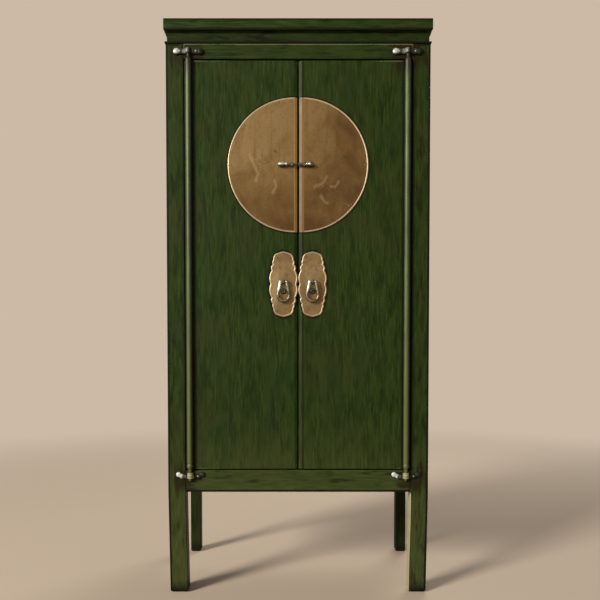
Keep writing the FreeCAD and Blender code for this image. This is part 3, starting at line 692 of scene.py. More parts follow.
def darkBronze(name, lift=1.0, rough=(0.26, 0.38), rubbed=0.25, spots=None, smeared=0.0, metal=0.8):
    look = bronzeLook
    material, tree, shader = newMaterial(name, Metallic=metal, Specular_IOR_Level=look["gloss"] * metal)
    coords = objectCoords(tree)
    cast = noise(coords, *look["cast"])
    grain = noise(coords, *look["grain"])
    point = addNode(tree, "ShaderNodeNewGeometry").outputs["Pointiness"]
    point = plus(point, times(cast, look["ridgeSway"]))
    ridge = times(band(point, *look["ridgeBand"]), rubbed)
    shades = [tinted(look[key], lift) for key in ("dark", "body")]
    colour = ramp(cast, *zip(look["stops"], shades))
    colour = mixColour(ridge, colour, look["handled"])
    if spots:
        colour = castHighlightAndSmear(coords, colour, cast, paintedHighlightSpots[spots], smeared)
    colour = mixColour(wearAndLightMarks(tree), colour, look["bright"])
    roughness = band(cast, *look["roughBand"], *rough)
    relief = plus(cast, times(grain, look["grainRelief"]))
    setSurface(shader, colour, roughness, relief, look["bump"])
    return material


bronzes = {
    "darkBronze": dict(),
    "upperBronze": dict(lift=(0.20, 0.20, 0.14), rough=(0.34, 0.46), rubbed=0.01, spots="upper", metal=0.2),
    "lowerBronze": dict(
        lift=(0.20, 0.19, 0.14), rough=(0.34, 0.46), rubbed=0.01, spots="lower", smeared=0.9, metal=0.2,
    ),
    "brightBronze": dict(lift=(2.2, 1.9, 1.5), rough=(0.26, 0.34), rubbed=0.2),
    "pullBronze": dict(lift=(3.2, 2.4, 1.7), rough=(0.30, 0.42), rubbed=0.3, spots="pull"),
}


finishes = {}  # finish: (material, slot in the record)
for makeFinish, slot, kinds in (
    (greenLacquer, "green_lacquer", lacquers),
    (bareWood, "bare_wood", woods),
    (agedBrass, "aged_brass", brasses),
    (darkBronze, "dark_bronze", bronzes),
):
    for name, settings in kinds.items():
        finishes[name] = (makeFinish(name, **settings), slot)
print("materials made:", len(finishes))


# mesh helpers

upward = Vector((0, 0, 1))
outward = Vector((0, -1, 0))
rightward = Vector((1, 0, 0))
slack = {"weld": 1e-6, "cut": 1e-7, "level": 1e-5, "end": 1e-4, "parallel": 0.9999}
wornShare = 0.3  # most of a face's shortest edge that the worn band may take
leastFlat = 1e-5  # faces with less area than this are worn all over


def startMesh():
    mesh = bmesh.new()
    mesh.verts.layers.float.new("wear")
    return mesh


def setWear(bm, verts, amount):
    layer = bm.verts.layers.float["wear"]
    for vert in verts:
        vert[layer] = amount


def newOnes(items, before):
    return [item for item in items if item not in before]


def onlyVerts(items):
    return [item for item in items if isinstance(item, bmesh.types.BMVert)]


def onlyEdges(items):
    return [item for item in items if isinstance(item, bmesh.types.BMEdge)]


def flipLeft(bm):  # turns a right-hand piece into its left-hand twin
    bmesh.ops.scale(bm, vec=(-1, 1, 1), verts=bm.verts)
    bmesh.ops.reverse_faces(bm, faces=bm.faces)


def finishPiece(bm, name, finish, node, side=1, sharpFrom=0.7, weighted=False):
    if side < 0:
        flipLeft(bm)
    for face in bm.faces:
        face.smooth = True
    for edge in bm.edges:
        edge.smooth = edge.calc_face_angle(math.pi) < sharpFrom
    mesh = bpy.data.meshes.new(name)
    bm.to_mesh(mesh)
    bm.free()
    piece = bpy.data.objects.new(name, mesh)
    bpy.context.scene.collection.objects.link(piece)
    material, slot = finishes[finish]
    mesh.materials.append(material)
    if weighted:
        piece.modifiers.new("weighted", "WEIGHTED_NORMAL").keep_sharp = True
    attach(piece, frame["nodes"][node]["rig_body"])
    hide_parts(node)
    return piece


def roundEdges(bm, edges, offset, segments):
    bmesh.ops.bevel(
        bm, geom=edges, offset=offset, offset_type="OFFSET", segments=segments,
        profile=0.5, affect="EDGES", clamp_overlap=True, material=-1,
    )


def runsAlong(edge, axis):  # true unless the edge is square to the axis
    return abs(edge.verts[1].co[axis] - edge.verts[0].co[axis]) > slack["level"]


def soften(bm, before, look):  # rounds the arrises of the new faces and marks where they wear
    fresh = newOnes(bm.faces, before)
    bmesh.ops.recalc_face_normals(bm, faces=fresh)
    normals = [face.normal.copy() for face in fresh]
    edges = {edge for face in fresh for edge in face.edges}
    corners = [edge for edge in edges if edge.calc_face_angle(0.0) > look["sharpFrom"]]
    if "along" in look:
        corners = [edge for edge in corners if runsAlong(edge, look["along"])]
    roundEdges(bm, corners, look["arris"], look["segments"])
    fresh = newOnes(bm.faces, before)
    bm.normal_update()
    setWear(bm, {vert for face in fresh for vert in face.verts}, 1.0)
    for face in fresh:
        flat = max(face.normal.dot(normal) for normal in normals) > slack["parallel"]
        if flat and face.calc_area() > look.get("leastFlat", leastFlat):
            inset = min(look["wornBand"], wornShare * min(edge.calc_length() for edge in face.edges))
            bmesh.ops.inset_individual(bm, faces=[face], thickness=inset, use_even_offset=True)
            setWear(bm, face.verts, 0.0)


def addPlank(bm, low, high, look, shape=None):  # shape works on the plain block
    before = set(bm.faces)
    low, high = Vector(low), Vector(high)
    cube = bmesh.ops.create_cube(bm, size=1.0)["verts"]
    bmesh.ops.scale(bm, vec=high - low, verts=cube)
    bmesh.ops.translate(bm, vec=(low + high) / 2, verts=cube)
    if shape:
        shape(bm)
    soften(bm, before, look)


def addPrism(bm, outline, low, high, look):  # an outline in plan, drawn up from low to high
    before = set(bm.faces)
    base = bm.faces.new([bm.verts.new((x, y, low)) for x, y in outline])
    risen = bmesh.ops.extrude_face_region(bm, geom=[base])["geom"]
    bmesh.ops.translate(bm, vec=(0, 0, high - low), verts=onlyVerts(risen))
    soften(bm, before, look)


def addTurned(bm, profile, centre, axis, across, steps=40):  # profile is (radius, place along the axis)
    beforeVerts, beforeFaces = set(bm.verts), set(bm.faces)
    points = [bm.verts.new(centre + across * radius + axis * place) for radius, place in profile]
    edges = [bm.edges.new(pair) for pair in zip(points, points[1:])]
    bmesh.ops.spin(
        bm, geom=points + edges, cent=centre, axis=axis, angle=2 * math.pi, steps=steps, use_merge=True,
    )
    bmesh.ops.remove_doubles(bm, verts=newOnes(bm.verts, beforeVerts), dist=slack["weld"])
    bmesh.ops.recalc_face_normals(bm, faces=newOnes(bm.faces, beforeFaces))


def cutMesh(bm, point, normal):  # cuts away what lies beyond a plane and closes the cut
    geom = bm.verts[:] + bm.edges[:] + bm.faces[:]
    cut = bmesh.ops.bisect_plane(
        bm, geom=geom, dist=slack["cut"], plane_co=point, plane_no=normal, clear_outer=True,
    )["geom_cut"]
    bmesh.ops.contextual_create(bm, geom=onlyEdges(cut))


# the frame: posts, rails and panels

plankLook = {"arris": 0.0022, "wornBand": 0.005, "segments": 3, "sharpFrom": 0.3, "leastFlat": 4e-4}
postLook = dict(plankLook, wornBand=0.0065)
railLook = dict(plankLook, arris=0.0045, along=0)
railHeadLook = dict(plankLook, wornBand=0.0075, along=0)
panelLook = {"arris": 0.0010, "wornBand": 0.003, "segments": 2, "sharpFrom": 0.3}
panelSeat = 0.003  # how far a panel's edge stands inside its groove
footLook = {"round": 0.009, "segments": 6}
edgeShadeAndHighlightLook = {
    "reach": 1.1,  # in arrises
    # post and railFoot: painted shade on the posts' outer arrises and the bottom rail's lower arris;
    # railHead: where the top rail's painted highlight runs
    "post": 2.0, "railFoot": 1.3, "railFootDepth": 0.006, "railHeadDrop": 0.010, "railHeadDepth": 0.004,
}


def roundFoot(bm):  # the floor wears the lower arrises of a post away
    floor = min(vert.co.z for vert in bm.verts)
    rim = [edge for edge in bm.edges if max(vert.co.z for vert in edge.verts) < floor + slack["level"]]
    roundEdges(bm, rim, footLook["round"], footLook["segments"])


def plankPiece(name, finish, node, low, high, look=plankLook, side=1, shape=None, wear=None):
    bm = startMesh()
    addPlank(bm, low, high, look, shape)
    if wear:
        wear(bm)
    finishPiece(bm, name, finish, node, side, weighted=True)


def leanLeg(bm):  # painted shade along the outer arrises, and the leg leans in below the bottom rail
    reach = edgeShadeAndHighlightLook["reach"] * postLook["arris"]
    setWear(bm, [vert for vert in bm.verts if vert.co.x < openingHalf + reach], 0.0)
    setWear(bm, [vert for vert in bm.verts if vert.co.x > halfWidth - reach], edgeShadeAndHighlightLook["post"])
    lean, top = legLook["lean"], legLook["top"]
    geom = bm.verts[:] + bm.edges[:] + bm.faces[:]
    bmesh.ops.bisect_plane(bm, geom=geom, dist=slack["weld"], plane_co=(0, 0, top), plane_no=upward)
    shear = Matrix(((1, 0, lean / top, -lean), (0, 1, 0, 0), (0, 0, 1, 0), (0, 0, 0, 1)))
    bmesh.ops.transform(bm, matrix=shear, verts=[vert for vert in bm.verts if vert.co.z < top])


for hand, side in sides.items():
    plankPiece(
        "front" + hand.title() + "Post", "postLacquer", "front_%s_post" % hand,
        (openingHalf, *frontPost[0].yz), (*frontPost[1].xy, postTop), postLook, side, roundFoot, leanLeg,
    )
    plankPiece(
        "rear" + hand.title() + "Post", "rearLacquer", "rear_%s_post" % hand,
        rearPost[0], (*rearPost[1].xy, postTop), plankLook, side, roundFoot,
    )
    for level in ("top", "bottom"):
        low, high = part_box("right_%s_rail" % level)
        plankPiece(
            hand + level.title() + "Rail", "deepLacquer", "%s_%s_rail" % (hand, level),
            (low.x, frontPost[1].y, low.z), (high.x, rearPost[0].y, high.z), side=side,
        )
    low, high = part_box("right_side_panel")
    plankPiece(
        hand + "SidePanel", "uprightLacquer", hand + "_side_panel",
        (low.x, frontPost[1].y - panelSeat, footRail[1].z - panelSeat),
        (high.x, rearPost[0].y + panelSeat, topRail[0].z + panelSeat), panelLook, side,
    )


def squareEnds(bm):  # no wear where a rail meets the posts
    reach = max(vert.co.x for vert in bm.verts) - slack["end"]
    setWear(bm, [vert for vert in bm.verts if abs(vert.co.x) > reach], 0.0)


def highlightRailHead(bm):  # painted highlight: only the upper front arris is pale
    foot = postTop - edgeShadeAndHighlightLook["railHeadDrop"]
    depth = frontFace + edgeShadeAndHighlightLook["railHeadDepth"]
    setWear(bm, [vert for vert in bm.verts if vert.co.z <= foot or vert.co.y >= depth], 0.0)


def shadeRailFoot(bm):  # painted shade along the lower front arris only
    setWear(bm, bm.verts, 0.0)
    head = footRail[0].z + edgeShadeAndHighlightLook["reach"] * railLook["arris"]
    depth = frontFace + edgeShadeAndHighlightLook["railFootDepth"]
    paintedShade = [vert for vert in bm.verts if vert.co.z < head and vert.co.y < depth]
    setWear(bm, paintedShade, edgeShadeAndHighlightLook["railFoot"])


railWearAndLight = {"front_top_rail": highlightRailHead, "front_bottom_rail": shadeRailFoot}
for row, half in (("front", openingHalf), ("rear", rearOpening)):
    for level in ("top", "bottom"):
        node = "%s_%s_rail" % (row, level)
        low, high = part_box(node)
        rubbed = node == "front_top_rail"
        plankPiece(
            row + level.title() + "Rail", "rubbedLacquer" if rubbed else "crossLacquer", node,
            (-half, low.y, low.z), (half, high.y, high.z), railHeadLook if rubbed else railLook,
            wear=railWearAndLight.get(node, squareEnds),
        )
low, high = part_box("back_panel")
plankPiece(
    "backPanel", "uprightWood", "back_panel",
    (-rearOpening - panelSeat, low.y, footRail[1].z - panelSeat),
    (rearOpening + panelSeat, high.y, topRail[0].z + panelSeat), panelLook,
)
print("frame pieces made")


# the top board and the waist band under it, mitred at their corners

topLook = {"arris": 0.0042, "wornBand": 0.006, "segments": 4, "sharpFrom": 0.3}
waistLook = {
    "beadHeight": 0.007, "beadReach": 0.003, "beadShade": 2.0, "steps": 8,
    "recess": 0.004, "thickness": 0.018,
}
spare = 0.1  # length that the mitre cuts off


def mitreRun(bm, side, halfX, frontY, rearY):  # turns a run drawn along X to its side and cuts its ends
    quarter = {"front": 0, "right": 1, "rear": 2}[side]
    seat = {"front": (0, frontY, 0), "right": (halfX, 0, 0), "rear": (0, rearY, 0)}[side]
    turn = Matrix.Rotation(quarter * math.pi / 2, 3, "Z")
    bmesh.ops.rotate(bm, cent=(0, 0, 0), matrix=turn, verts=bm.verts)
    bmesh.ops.translate(bm, vec=seat, verts=bm.verts)
    cuts = {
        "front": [((halfX, frontY, 0), (1, 1, 0)), ((-halfX, frontY, 0), (-1, 1, 0))],
        "right": [((halfX, frontY, 0), (-1, -1, 0)), ((halfX, rearY, 0), (-1, 1, 0))],
        "rear": [((halfX, rearY, 0), (1, -1, 0)), ((-halfX, rearY, 0), (-1, -1, 0))],
    }
    for point, normal in cuts[side]:
        cutMesh(bm, point, normal)


def topSection(bm, length):
    low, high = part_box("top_front_member")
    addPlank(bm, (-length, 0, low.z), (length, high.y - low.y, high.z), topLook)


def waistSection(bm, length):  # a flat band over a half-round bead
    look = waistLook
    low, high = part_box("waist_front")
    beadTop = low.z + look["beadHeight"]
    chord = look["beadHeight"] / 2
    radius = (chord ** 2 + look["beadReach"] ** 2) / (2 * look["beadReach"])
    middle = Vector((-length, radius - look["beadReach"], low.z + chord))
    foot = bm.verts.new((-length, 0, low.z))
    angle = -2 * math.asin(chord / radius)
    bmesh.ops.spin(bm, geom=[foot], cent=middle, axis=rightward, angle=angle, steps=look["steps"])
    bm.verts.ensure_lookup_table()
    # painted shade: the bead dark all over, as the shaded line under the waist band
    setWear(bm, bm.verts, look["beadShade"])
    back = look["recess"] + look["thickness"]
    corners = [(look["recess"], beadTop), (look["recess"], high.z), (back, high.z), (back, low.z)]
    chain = [bm.verts[-1]] + [bm.verts.new((-length, y, z)) for y, z in corners] + [foot]
    for pair in zip(chain, chain[1:]):
        bm.edges.new(pair)
    made = bmesh.ops.contextual_create(bm, geom=bm.edges[:])["faces"]
    run = bmesh.ops.extrude_face_region(bm, geom=made)["geom"]
    bmesh.ops.translate(bm, vec=(2 * length, 0, 0), verts=onlyVerts(run))
    bmesh.ops.recalc_face_normals(bm, faces=bm.faces)


def cornice(section, name, node, halfX, frontY, rearY, finishPair):  # runs round the four sides
    for side in ("front", "rear", "right", "left"):
        bm = startMesh()
        section(bm, halfX + spare)
        mitreRun(bm, side.replace("left", "right"), halfX, frontY, rearY)
        finish = finishPair[side in sides]
        finishPiece(bm, side + name, finish, node % side, sides.get(side, 1), weighted=True)


low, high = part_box("top_right_member")
cornice(topSection, "TopMember", "top_%s_member", high.x, low.y, high.y, ("crossLacquer", "deepLacquer"))
inner = low.x
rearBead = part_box("waist_rear")[1].y - waistLook["beadReach"]
waistPair = ("waistLacquer", "waistSideLacquer")
cornice(waistSection, "Waist", "waist_%s", halfWidth, frontFace, rearBead, waistPair)
low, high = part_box("top_panel")
frontInner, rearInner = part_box("top_front_member")[1].y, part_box("top_rear_member")[0].y
plankPiece(
    "topPanel", "crossLacquer", "top_panel",
    (-inner, frontInner, low.z), (inner, rearInner, high.z), panelLook,
)
print("top and waist made")


# inside: bottom board, shelves, cleats and stops

insideLook = {"arris": 0.0015, "wornBand": 0.004, "segments": 2, "sharpFrom": 0.3}
cleatLook = {"width": 0.018, "height": 0.026}
notchGap = 0.0015  # room round the posts


def innerBoard(name, node):  # notched round the posts
    low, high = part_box(node)
    notchX, notchY = rearOpening - notchGap, rearPost[0].y - notchGap
    right = [(notchX, high.y), (notchX, notchY), (high.x, notchY)]
    frontX, frontY = openingHalf - notchGap, frontPost[1].y + notchGap
    if low.y < frontY:
        right += [(high.x, frontY), (frontX, frontY), (frontX, low.y)]
    else:
        right += [(high.x, low.y)]
    outline = right + [(-x, y) for x, y in reversed(right)]
    bm = startMesh()
    addPrism(bm, outline, low.z, high.z, insideLook)
    finishPiece(bm, name, "crossWood", node, weighted=True)


def cleatPiece():
    look = cleatLook
    sideRail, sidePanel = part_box("right_bottom_rail")[0].x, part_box("right_side_panel")[0].x
    bm = startMesh()
    seats = {"bottom_board": sideRail, "lower_shelf": sidePanel, "upper_shelf": sidePanel}
    for board, outer in seats.items():
        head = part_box(board)[0].z
        for side in (-1, 1):
            ends = sorted((side * (outer - look["width"]), side * outer))
            low = (ends[0], frontPost[1].y, head - look["height"])
            addPlank(bm, low, (ends[1], rearPost[0].y, head), insideLook)
    finishPiece(bm, "shelfCleats", "deepWood", "shelf_cleats", weighted=True)


innerBoard("bottomBoard", "bottom_board")
innerBoard("lowerShelf", "lower_shelf")
innerBoard("upperShelf", "upper_shelf")
plankPiece("upperDoorStop", "crossWood", "upper_door_stop", *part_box("upper_door_stop"), insideLook)
plankPiece("lowerDoorStop", "crossWood", "lower_door_stop", *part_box("lower_door_stop"), insideLook)
cleatPiece()
print("inside made")


# doors: bevelled boards with battens behind

doorLook = dict(plankLook, bevelWidth=0.010, bevelDepth=0.005, leastFlat=leastFlat)
battenLook = {"count": 3, "width": 0.045}


def doorPiece(hand, side):
    low, high = doorBoard
    bevel = low.x + doorLook["bevelWidth"]
    outline = [
        (high.x, low.y), (bevel, low.y), (low.x, low.y + doorLook["bevelDepth"]),
        (low.x, high.y), (high.x, high.y),
    ]
    bm = startMesh()
    addPrism(bm, outline, low.z, high.z, doorLook)
    setWear(bm, [vert for vert in bm.verts if vert.co.x < bevel + doorLook["arris"]], 0.0)
    finishPiece(bm, hand + "DoorBoard", "doorLacquer", hand + "_door_board", side, weighted=True)


def battenPiece(hand, side):
    low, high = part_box("right_door_battens")
    width = battenLook["width"]
    gap = (high.z - low.z - width) / (battenLook["count"] - 1)
    bm = startMesh()
    for row in range(battenLook["count"]):
        foot = low.z + row * gap
        addPlank(bm, (low.x, doorBoard[1].y, foot), (high.x, high.y, foot + width), insideLook)
    finishPiece(bm, hand + "DoorBattens", "crossWood", hand + "_door_battens", side, weighted=True)


for hand, side in sides.items():
    doorPiece(hand, side)
    battenPiece(hand, side)
    pegs = frame["nodes"][hand + "_rod_pegs"].data.materials
    pegs.clear()
    pegs.append(finishes["deepWood"][0])
print("doors made")


# pivot rods with turned ends, flat where they lie on the doors

rodLook = {
    "radius": 0.0100, "collar": 0.0115, "groove": 0.0090, "neck": 0.0064, "upperNeck": 0.0054,
    "pin": 0.0044, "chamfer": 0.0010, "foot": 0.0117, "head": 0.0167, "steps": 48, "wear": 0.35,
    "dome": [(0.0, 0.008), (0.02, 0.002), (0.07, -0.001), (0.18, -0.0035), (0.36, -0.0052)],
    "domeTop": -0.0060,
}


def rodFoot(look):  # (radius, height above the door's foot)
    return [
        (look["neck"], -0.0010), (look["neck"] + 0.0012, 0.0008), (look["radius"] - 0.0012, 0.0035),
        (look["collar"] - 0.0010, 0.0060), (look["collar"], 0.0085), (look["collar"], 0.0135),
        (look["radius"], 0.0155), (look["groove"], 0.0170), (look["groove"], 0.0185),
        (look["radius"] - 0.0006, 0.0205), (look["radius"], 0.024),
    ]


def rodHead(look):  # (radius, distance below the door's head), a dome below the bracket
    dome = [(look["radius"] * (1 - share), place) for share, place in look["dome"]]
    return dome + [(look["upperNeck"], look["domeTop"])]


def rodPiece(hand, side):
    look = rodLook
    low, high = pivotRod
    foot, head = doorBoard[0].z, doorBoard[1].z
    seatLow, seatHigh = foot - look["foot"], head + look["head"]
    pin, chamfer = look["pin"], look["chamfer"]
    profile = [(0.0, low.z), (pin - chamfer, low.z), (pin, low.z + chamfer), (pin, seatLow)]
    profile += [(look["neck"], seatLow)]
    profile += [(radius, foot + place) for radius, place in rodFoot(look)]
    profile += [(radius, head - place) for radius, place in rodHead(look)]
    profile += [(look["upperNeck"], seatHigh), (pin, seatHigh), (pin, high.z), (0.0, high.z)]
    centre = Vector((rodAxis, low.y + look["collar"], 0))
    bm = startMesh()
    addTurned(bm, profile, centre, upward, rightward, look["steps"])
    setWear(bm, bm.verts, look["wear"])
    cutMesh(bm, (0, frontFace, 0), -outward)
    finishPiece(bm, hand + "PivotRod", "rodLacquer", hand + "_pivot_rod", side, sharpFrom=0.9)


for hand, side in sides.items():
    rodPiece(hand, side)
print("pivot rods made")


# cast brackets that hold the rods

bracketLook = {
    "knuckle": 0.0100, "bore": 0.0051, "height": 0.0200, "depth": 0.58, "fill": 0.84, "plate": 0.0045,
    "cap": 0.0014, "clearance": 0.0002, "voxel": 0.0007, "smooth": 5,
    # lobes from the knuckle outwards: (reach, rise, radius)
    "upper": [(0.0140, 0.0, 0.0100), (0.0260, 0.0005, 0.0105), (0.0385, 0.0, 0.0115)],
    "lower": [(0.0140, -0.0035, 0.0080), (0.0260, -0.002, 0.0090), (0.0390, 0.004, 0.0090)],
    "upperKnuckle": [  # shares of the knuckle's radius and half height
        (0.62, -1.0), (0.86, -0.84), (0.97, -0.5), (1.0, 0.0),
        (0.96, 0.5), (0.80, 0.82), (0.45, 1.0), (0.0, 1.0),
    ],
    "lowerKnuckle": [
        (0.66, -1.0), (0.76, -0.8), (0.78, -0.2), (0.98, 0.05),
        (1.0, 0.3), (0.86, 0.5), (1.0, 0.7), (0.96, 1.0),
    ],
}
rootLook = {"arris": 0.001, "wornBand": 0.001, "segments": 2, "sharpFrom": 0.3}
ballLook = {"around": 24, "up": 16}


def remelt(piece, voxel, rounds):  # melts the overlapping shapes of a casting into one skin
    melt = piece.modifiers.new("melt", "REMESH")
    melt.mode = "VOXEL"
    melt.voxel_size = voxel
    melt.use_smooth_shade = True
    ease = piece.modifiers.new("ease", "SMOOTH")
    ease.factor = 0.5
    ease.iterations = rounds


def addBall(bm, centre, radius, depth):
    place = Matrix.Translation(centre) @ Matrix.Diagonal((1, depth, 1, 1))
    bmesh.ops.create_uvsphere(
        bm, u_segments=ballLook["around"], v_segments=ballLook["up"], radius=radius, matrix=place,
    )


def bracketMiddle(level):  # the middle of a right-hand knuckle
    low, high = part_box(level + "_right_bracket")
    rises = [rise + radius for _, rise, radius in bracketLook[level]] + [bracketLook["height"] / 2]
    return Vector(((low.x + high.x) / 2, low.y + bracketLook["knuckle"], high.z - max(rises)))


def addKnuckle(bm, level, middle):
    look = bracketLook
    half = look["height"] / 2
    ring = [(look["bore"], -half)]
    ring += [(look["knuckle"] * out, half * up) for out, up in look[level + "Knuckle"]]
    if level == "upper":  # closed above the pin
        ring += [(0.0, half - look["cap"]), (look["bore"], half - look["cap"])]
    else:
        ring += [(look["bore"], half)]
    addTurned(bm, ring + ring[:1], middle, upward, rightward)


def bracketPiece(level, hand, side):
    look = bracketLook
    middle = bracketMiddle(level)
    half = look["height"] / 2
    back = frontFace - look["clearance"]
    lobes = look[level]
    between = [[(one + two) / 2 for one, two in zip(*pair)] for pair in zip(lobes, lobes[1:])]
    fills = [(reach, rise, look["fill"] * radius) for reach, rise, radius in between]
    bm = startMesh()
    addKnuckle(bm, level, middle)
    for way in (-1, 1):
        ends = sorted((middle.x + way * look["bore"], middle.x + way * look["knuckle"]))
        addPlank(bm, (ends[0], middle.y, middle.z - half), (ends[1], back, middle.z + half), rootLook)
        for reach, rise, radius in lobes + fills:
            spot = Vector((middle.x + way * reach, frontFace - look["plate"] / 2, middle.z + rise))
            addBall(bm, spot, radius, look["depth"])
    cutMesh(bm, (0, back, 0), -outward)
    name, node = level + hand.title() + "Bracket", "%s_%s_bracket" % (level, hand)
    remelt(finishPiece(bm, name, level + "Bronze", node, side), look["voxel"], look["smooth"])


for hand, side in sides.items():
    for level in ("upper", "lower"):
        bracketPiece(level, hand, side)
print("brackets made")


# nails, as low domes

nailLook = {
    "dome": [(0.0, 0.0013), (0.0009, 0.0012), (0.0018, 0.0008), (0.0026, 0.0)],
    "shank": 0.0012, "depth": 0.008, "steps": 16,
}
bracketNailLook = {"lobe": 1, "size": 1.4, "sunk": 0.0006}


def addNail(bm, x, face, z, size=1.0):
    look = nailLook
    profile = [(radius * size, height) for radius, height in look["dome"]]
    profile += [(look["shank"], 0.0), (look["shank"], -look["depth"]), (0.0, -look["depth"])]
    addTurned(bm, profile, Vector((x, face, z)), outward, rightward, look["steps"])


def bracketNails():
    look = bracketNailLook
    bm = startMesh()
    for level in ("upper", "lower"):
        middle = bracketMiddle(level)
        reach, rise, radius = bracketLook[level][look["lobe"]]
        face = frontFace - bracketLook["plate"] / 2 - radius * bracketLook["depth"] + look["sunk"]
        for side in (-1, 1):
            for way in (-1, 1):
                addNail(bm, side * middle.x + way * reach, face, middle.z + rise, look["size"])
    finishPiece(bm, "bracketNails", "darkBronze", "bracket_nails")


bracketNails()


# round plate in two halves, with a raised rim and an edge bent over the door's bevel

moonLook = {
    "rim": [  # (inset from the edge, rise)
        (0.0056, 0.0), (0.0045, 0.0004), (0.0032, 0.0009),
        (0.0020, 0.0010), (0.0009, 0.0007), (0.0002, 0.0001),
    ],
    "rimWearAndSheen": 0.52, "steps": 90, "edge": 0.0010, "nailInset": 0.0105, "nailAngles": (14, 52, 90, 128, 166),
}


def moonPiece(hand, side):
    look = moonLook
    low, high = moonBox
    radius = (high.z - low.z) / 2
    centre = Vector((high.x - radius, frontFace, moonMiddle))
    thickness = frontFace - low.y
    profile = [(0.0, thickness)] + [(radius - inset, thickness + rise) for inset, rise in look["rim"]]
    profile += [(radius, thickness / 2), (radius, 0.0), (0.0, 0.0)]
    bm = startMesh()
    points = [bm.verts.new(centre + Vector((0, -out, reach))) for reach, out in profile]
    setWear(bm, points[2:-3], look["rimWearAndSheen"])
    edges = [bm.edges.new(pair) for pair in zip(points, points[1:])]
    bmesh.ops.spin(bm, geom=points + edges, cent=centre, axis=-outward, angle=math.pi, steps=look["steps"])
    bmesh.ops.remove_doubles(bm, verts=bm.verts, dist=slack["weld"])
    openEdges = [edge for edge in bm.edges if edge.is_boundary]
    joint = bmesh.ops.contextual_create(bm, geom=openEdges)["faces"]
    strip = onlyVerts(bmesh.ops.extrude_face_region(bm, geom=joint)["geom"])
    run = centre.x - doorBoard[0].x - look["edge"]
    slope = doorLook["bevelDepth"] / doorLook["bevelWidth"]
    bmesh.ops.translate(bm, vec=(-run, run * slope, 0), verts=strip)
    setWear(bm, strip, 0.0)
    bmesh.ops.recalc_face_normals(bm, faces=bm.faces)
    finishPiece(
        bm, hand + "MoonPlate", "agedBrass", hand + "_moon_plate", side, sharpFrom=0.5, weighted=True,
    )


# handle plates, one quarter of the outline in arcs, mirrored

handleLook = {
    "start": (0.92, 0.0),
    "arcs": [  # (through, to) as shares of the half sizes
        ((1.0, 0.20), (0.84, 0.41)), ((0.88, 0.505), (0.76, 0.59)), ((0.79, 0.66), (0.72, 0.735)),
        ((0.67, 0.85), (0.55, 0.915)), ((0.28, 0.957), (0.0, 0.985)),
    ],
    "rim": [(0.0009, 0.0007), (0.0013, 0.0003), (0.0013, -0.0001), (0.0013, -0.0004), (0.0008, -0.0003)],
    "rimWearAndSheen": 0.36, "steps": 7, "wall": 0.0010,
    "nails": [(0.45, 0.80), (-0.45, 0.80), (0.45, -0.80), (-0.45, -0.80)],
}


def arcCentre(start, through, to):  # middle of the circle through three points, in X and Z
    a, b = through - start, to - start
    turn = 2 * (a.x * b.z - a.z * b.x)
    x = (b.z * a.length_squared - a.z * b.length_squared) / turn
    z = (a.x * b.length_squared - b.x * a.length_squared) / turn
    return start + Vector((x, 0, z)), turn


def handleOutline(bm, half):  # draws the quarter and mirrors it
    look = handleLook

    def spot(share):
        return Vector((share[0] * half.x, 0, share[1] * half.z))

    tip = bm.verts.new(spot(look["start"]))
    for through, to in look["arcs"]:
        start = tip.co.copy()
        centre, turn = arcCentre(start, spot(through), spot(to))
        angle = (start - centre).angle(spot(to) - centre)
        way = -1 if turn > 0 else 1
        before = set(bm.verts)
        bmesh.ops.spin(bm, geom=[tip], cent=centre, axis=-outward, angle=way * angle, steps=look["steps"])
        tip = min(newOnes(bm.verts, before), key=lambda vert: (vert.co - spot(to)).length)
    for axis in "XZ":
        bmesh.ops.mirror(bm, geom=bm.verts[:] + bm.edges[:], axis=axis, merge_dist=slack["level"])
    bmesh.ops.remove_doubles(bm, verts=bm.verts, dist=slack["level"])


def handlePiece(hand, side):
    look = handleLook
    low, high = handleBox
    middle, half = (low + high) / 2, (high - low) / 2
    bm = startMesh()
    handleOutline(bm, half)
    field = bmesh.ops.contextual_create(bm, geom=bm.edges[:])["faces"]
    bm.normal_update()
    if field[0].normal.y > 0:
        bmesh.ops.reverse_faces(bm, faces=field)
    raised = bmesh.ops.extrude_face_region(bm, geom=field)["geom"]
    bmesh.ops.translate(bm, vec=outward * look["wall"], verts=onlyVerts(raised))
    field = [item for item in raised if isinstance(item, bmesh.types.BMFace)]
    bmesh.ops.recalc_face_normals(bm, faces=bm.faces)
    for inset, rise in look["rim"]:
        bmesh.ops.inset_region(
            bm, faces=field, thickness=inset, depth=rise, use_even_offset=True, use_boundary=True,
        )
    setWear(bm, bm.verts, look["rimWearAndSheen"])
    setWear(bm, field[0].verts, 0.0)
    bmesh.ops.triangulate(bm, faces=field)
    bmesh.ops.translate(bm, vec=(middle.x, frontFace, middle.z), verts=bm.verts)
    finishPiece(
        bm, hand + "HandlePlate", "paleBrass", hand + "_handle_plate", side, sharpFrom=0.9, weighted=True,
    )


def plateNails(hand, side):
    look = moonLook
    low, high = moonBox
    radius = (high.z - low.z) / 2
    ring = radius - look["nailInset"]
    bm = startMesh()
    for angle in map(math.radians, look["nailAngles"]):
        addNail(bm, high.x - radius + ring * math.sin(angle), low.y, moonMiddle + ring * math.cos(angle))
    middle, half = (handleBox[0] + handleBox[1]) / 2, (handleBox[1] - handleBox[0]) / 2
    for across, up in handleLook["nails"]:
        addNail(bm, middle.x + across * half.x, frontFace - handleLook["wall"], middle.z + up * half.z)
    finishPiece(bm, hand + "PlateNails", "nailBrass", hand + "_plate_nails", side)


for hand, side in sides.items():
    moonPiece(hand, side)
    handlePiece(hand, side)
    plateNails(hand, side)
print("plates made")


# staples with split legs, bosses and ring pulls

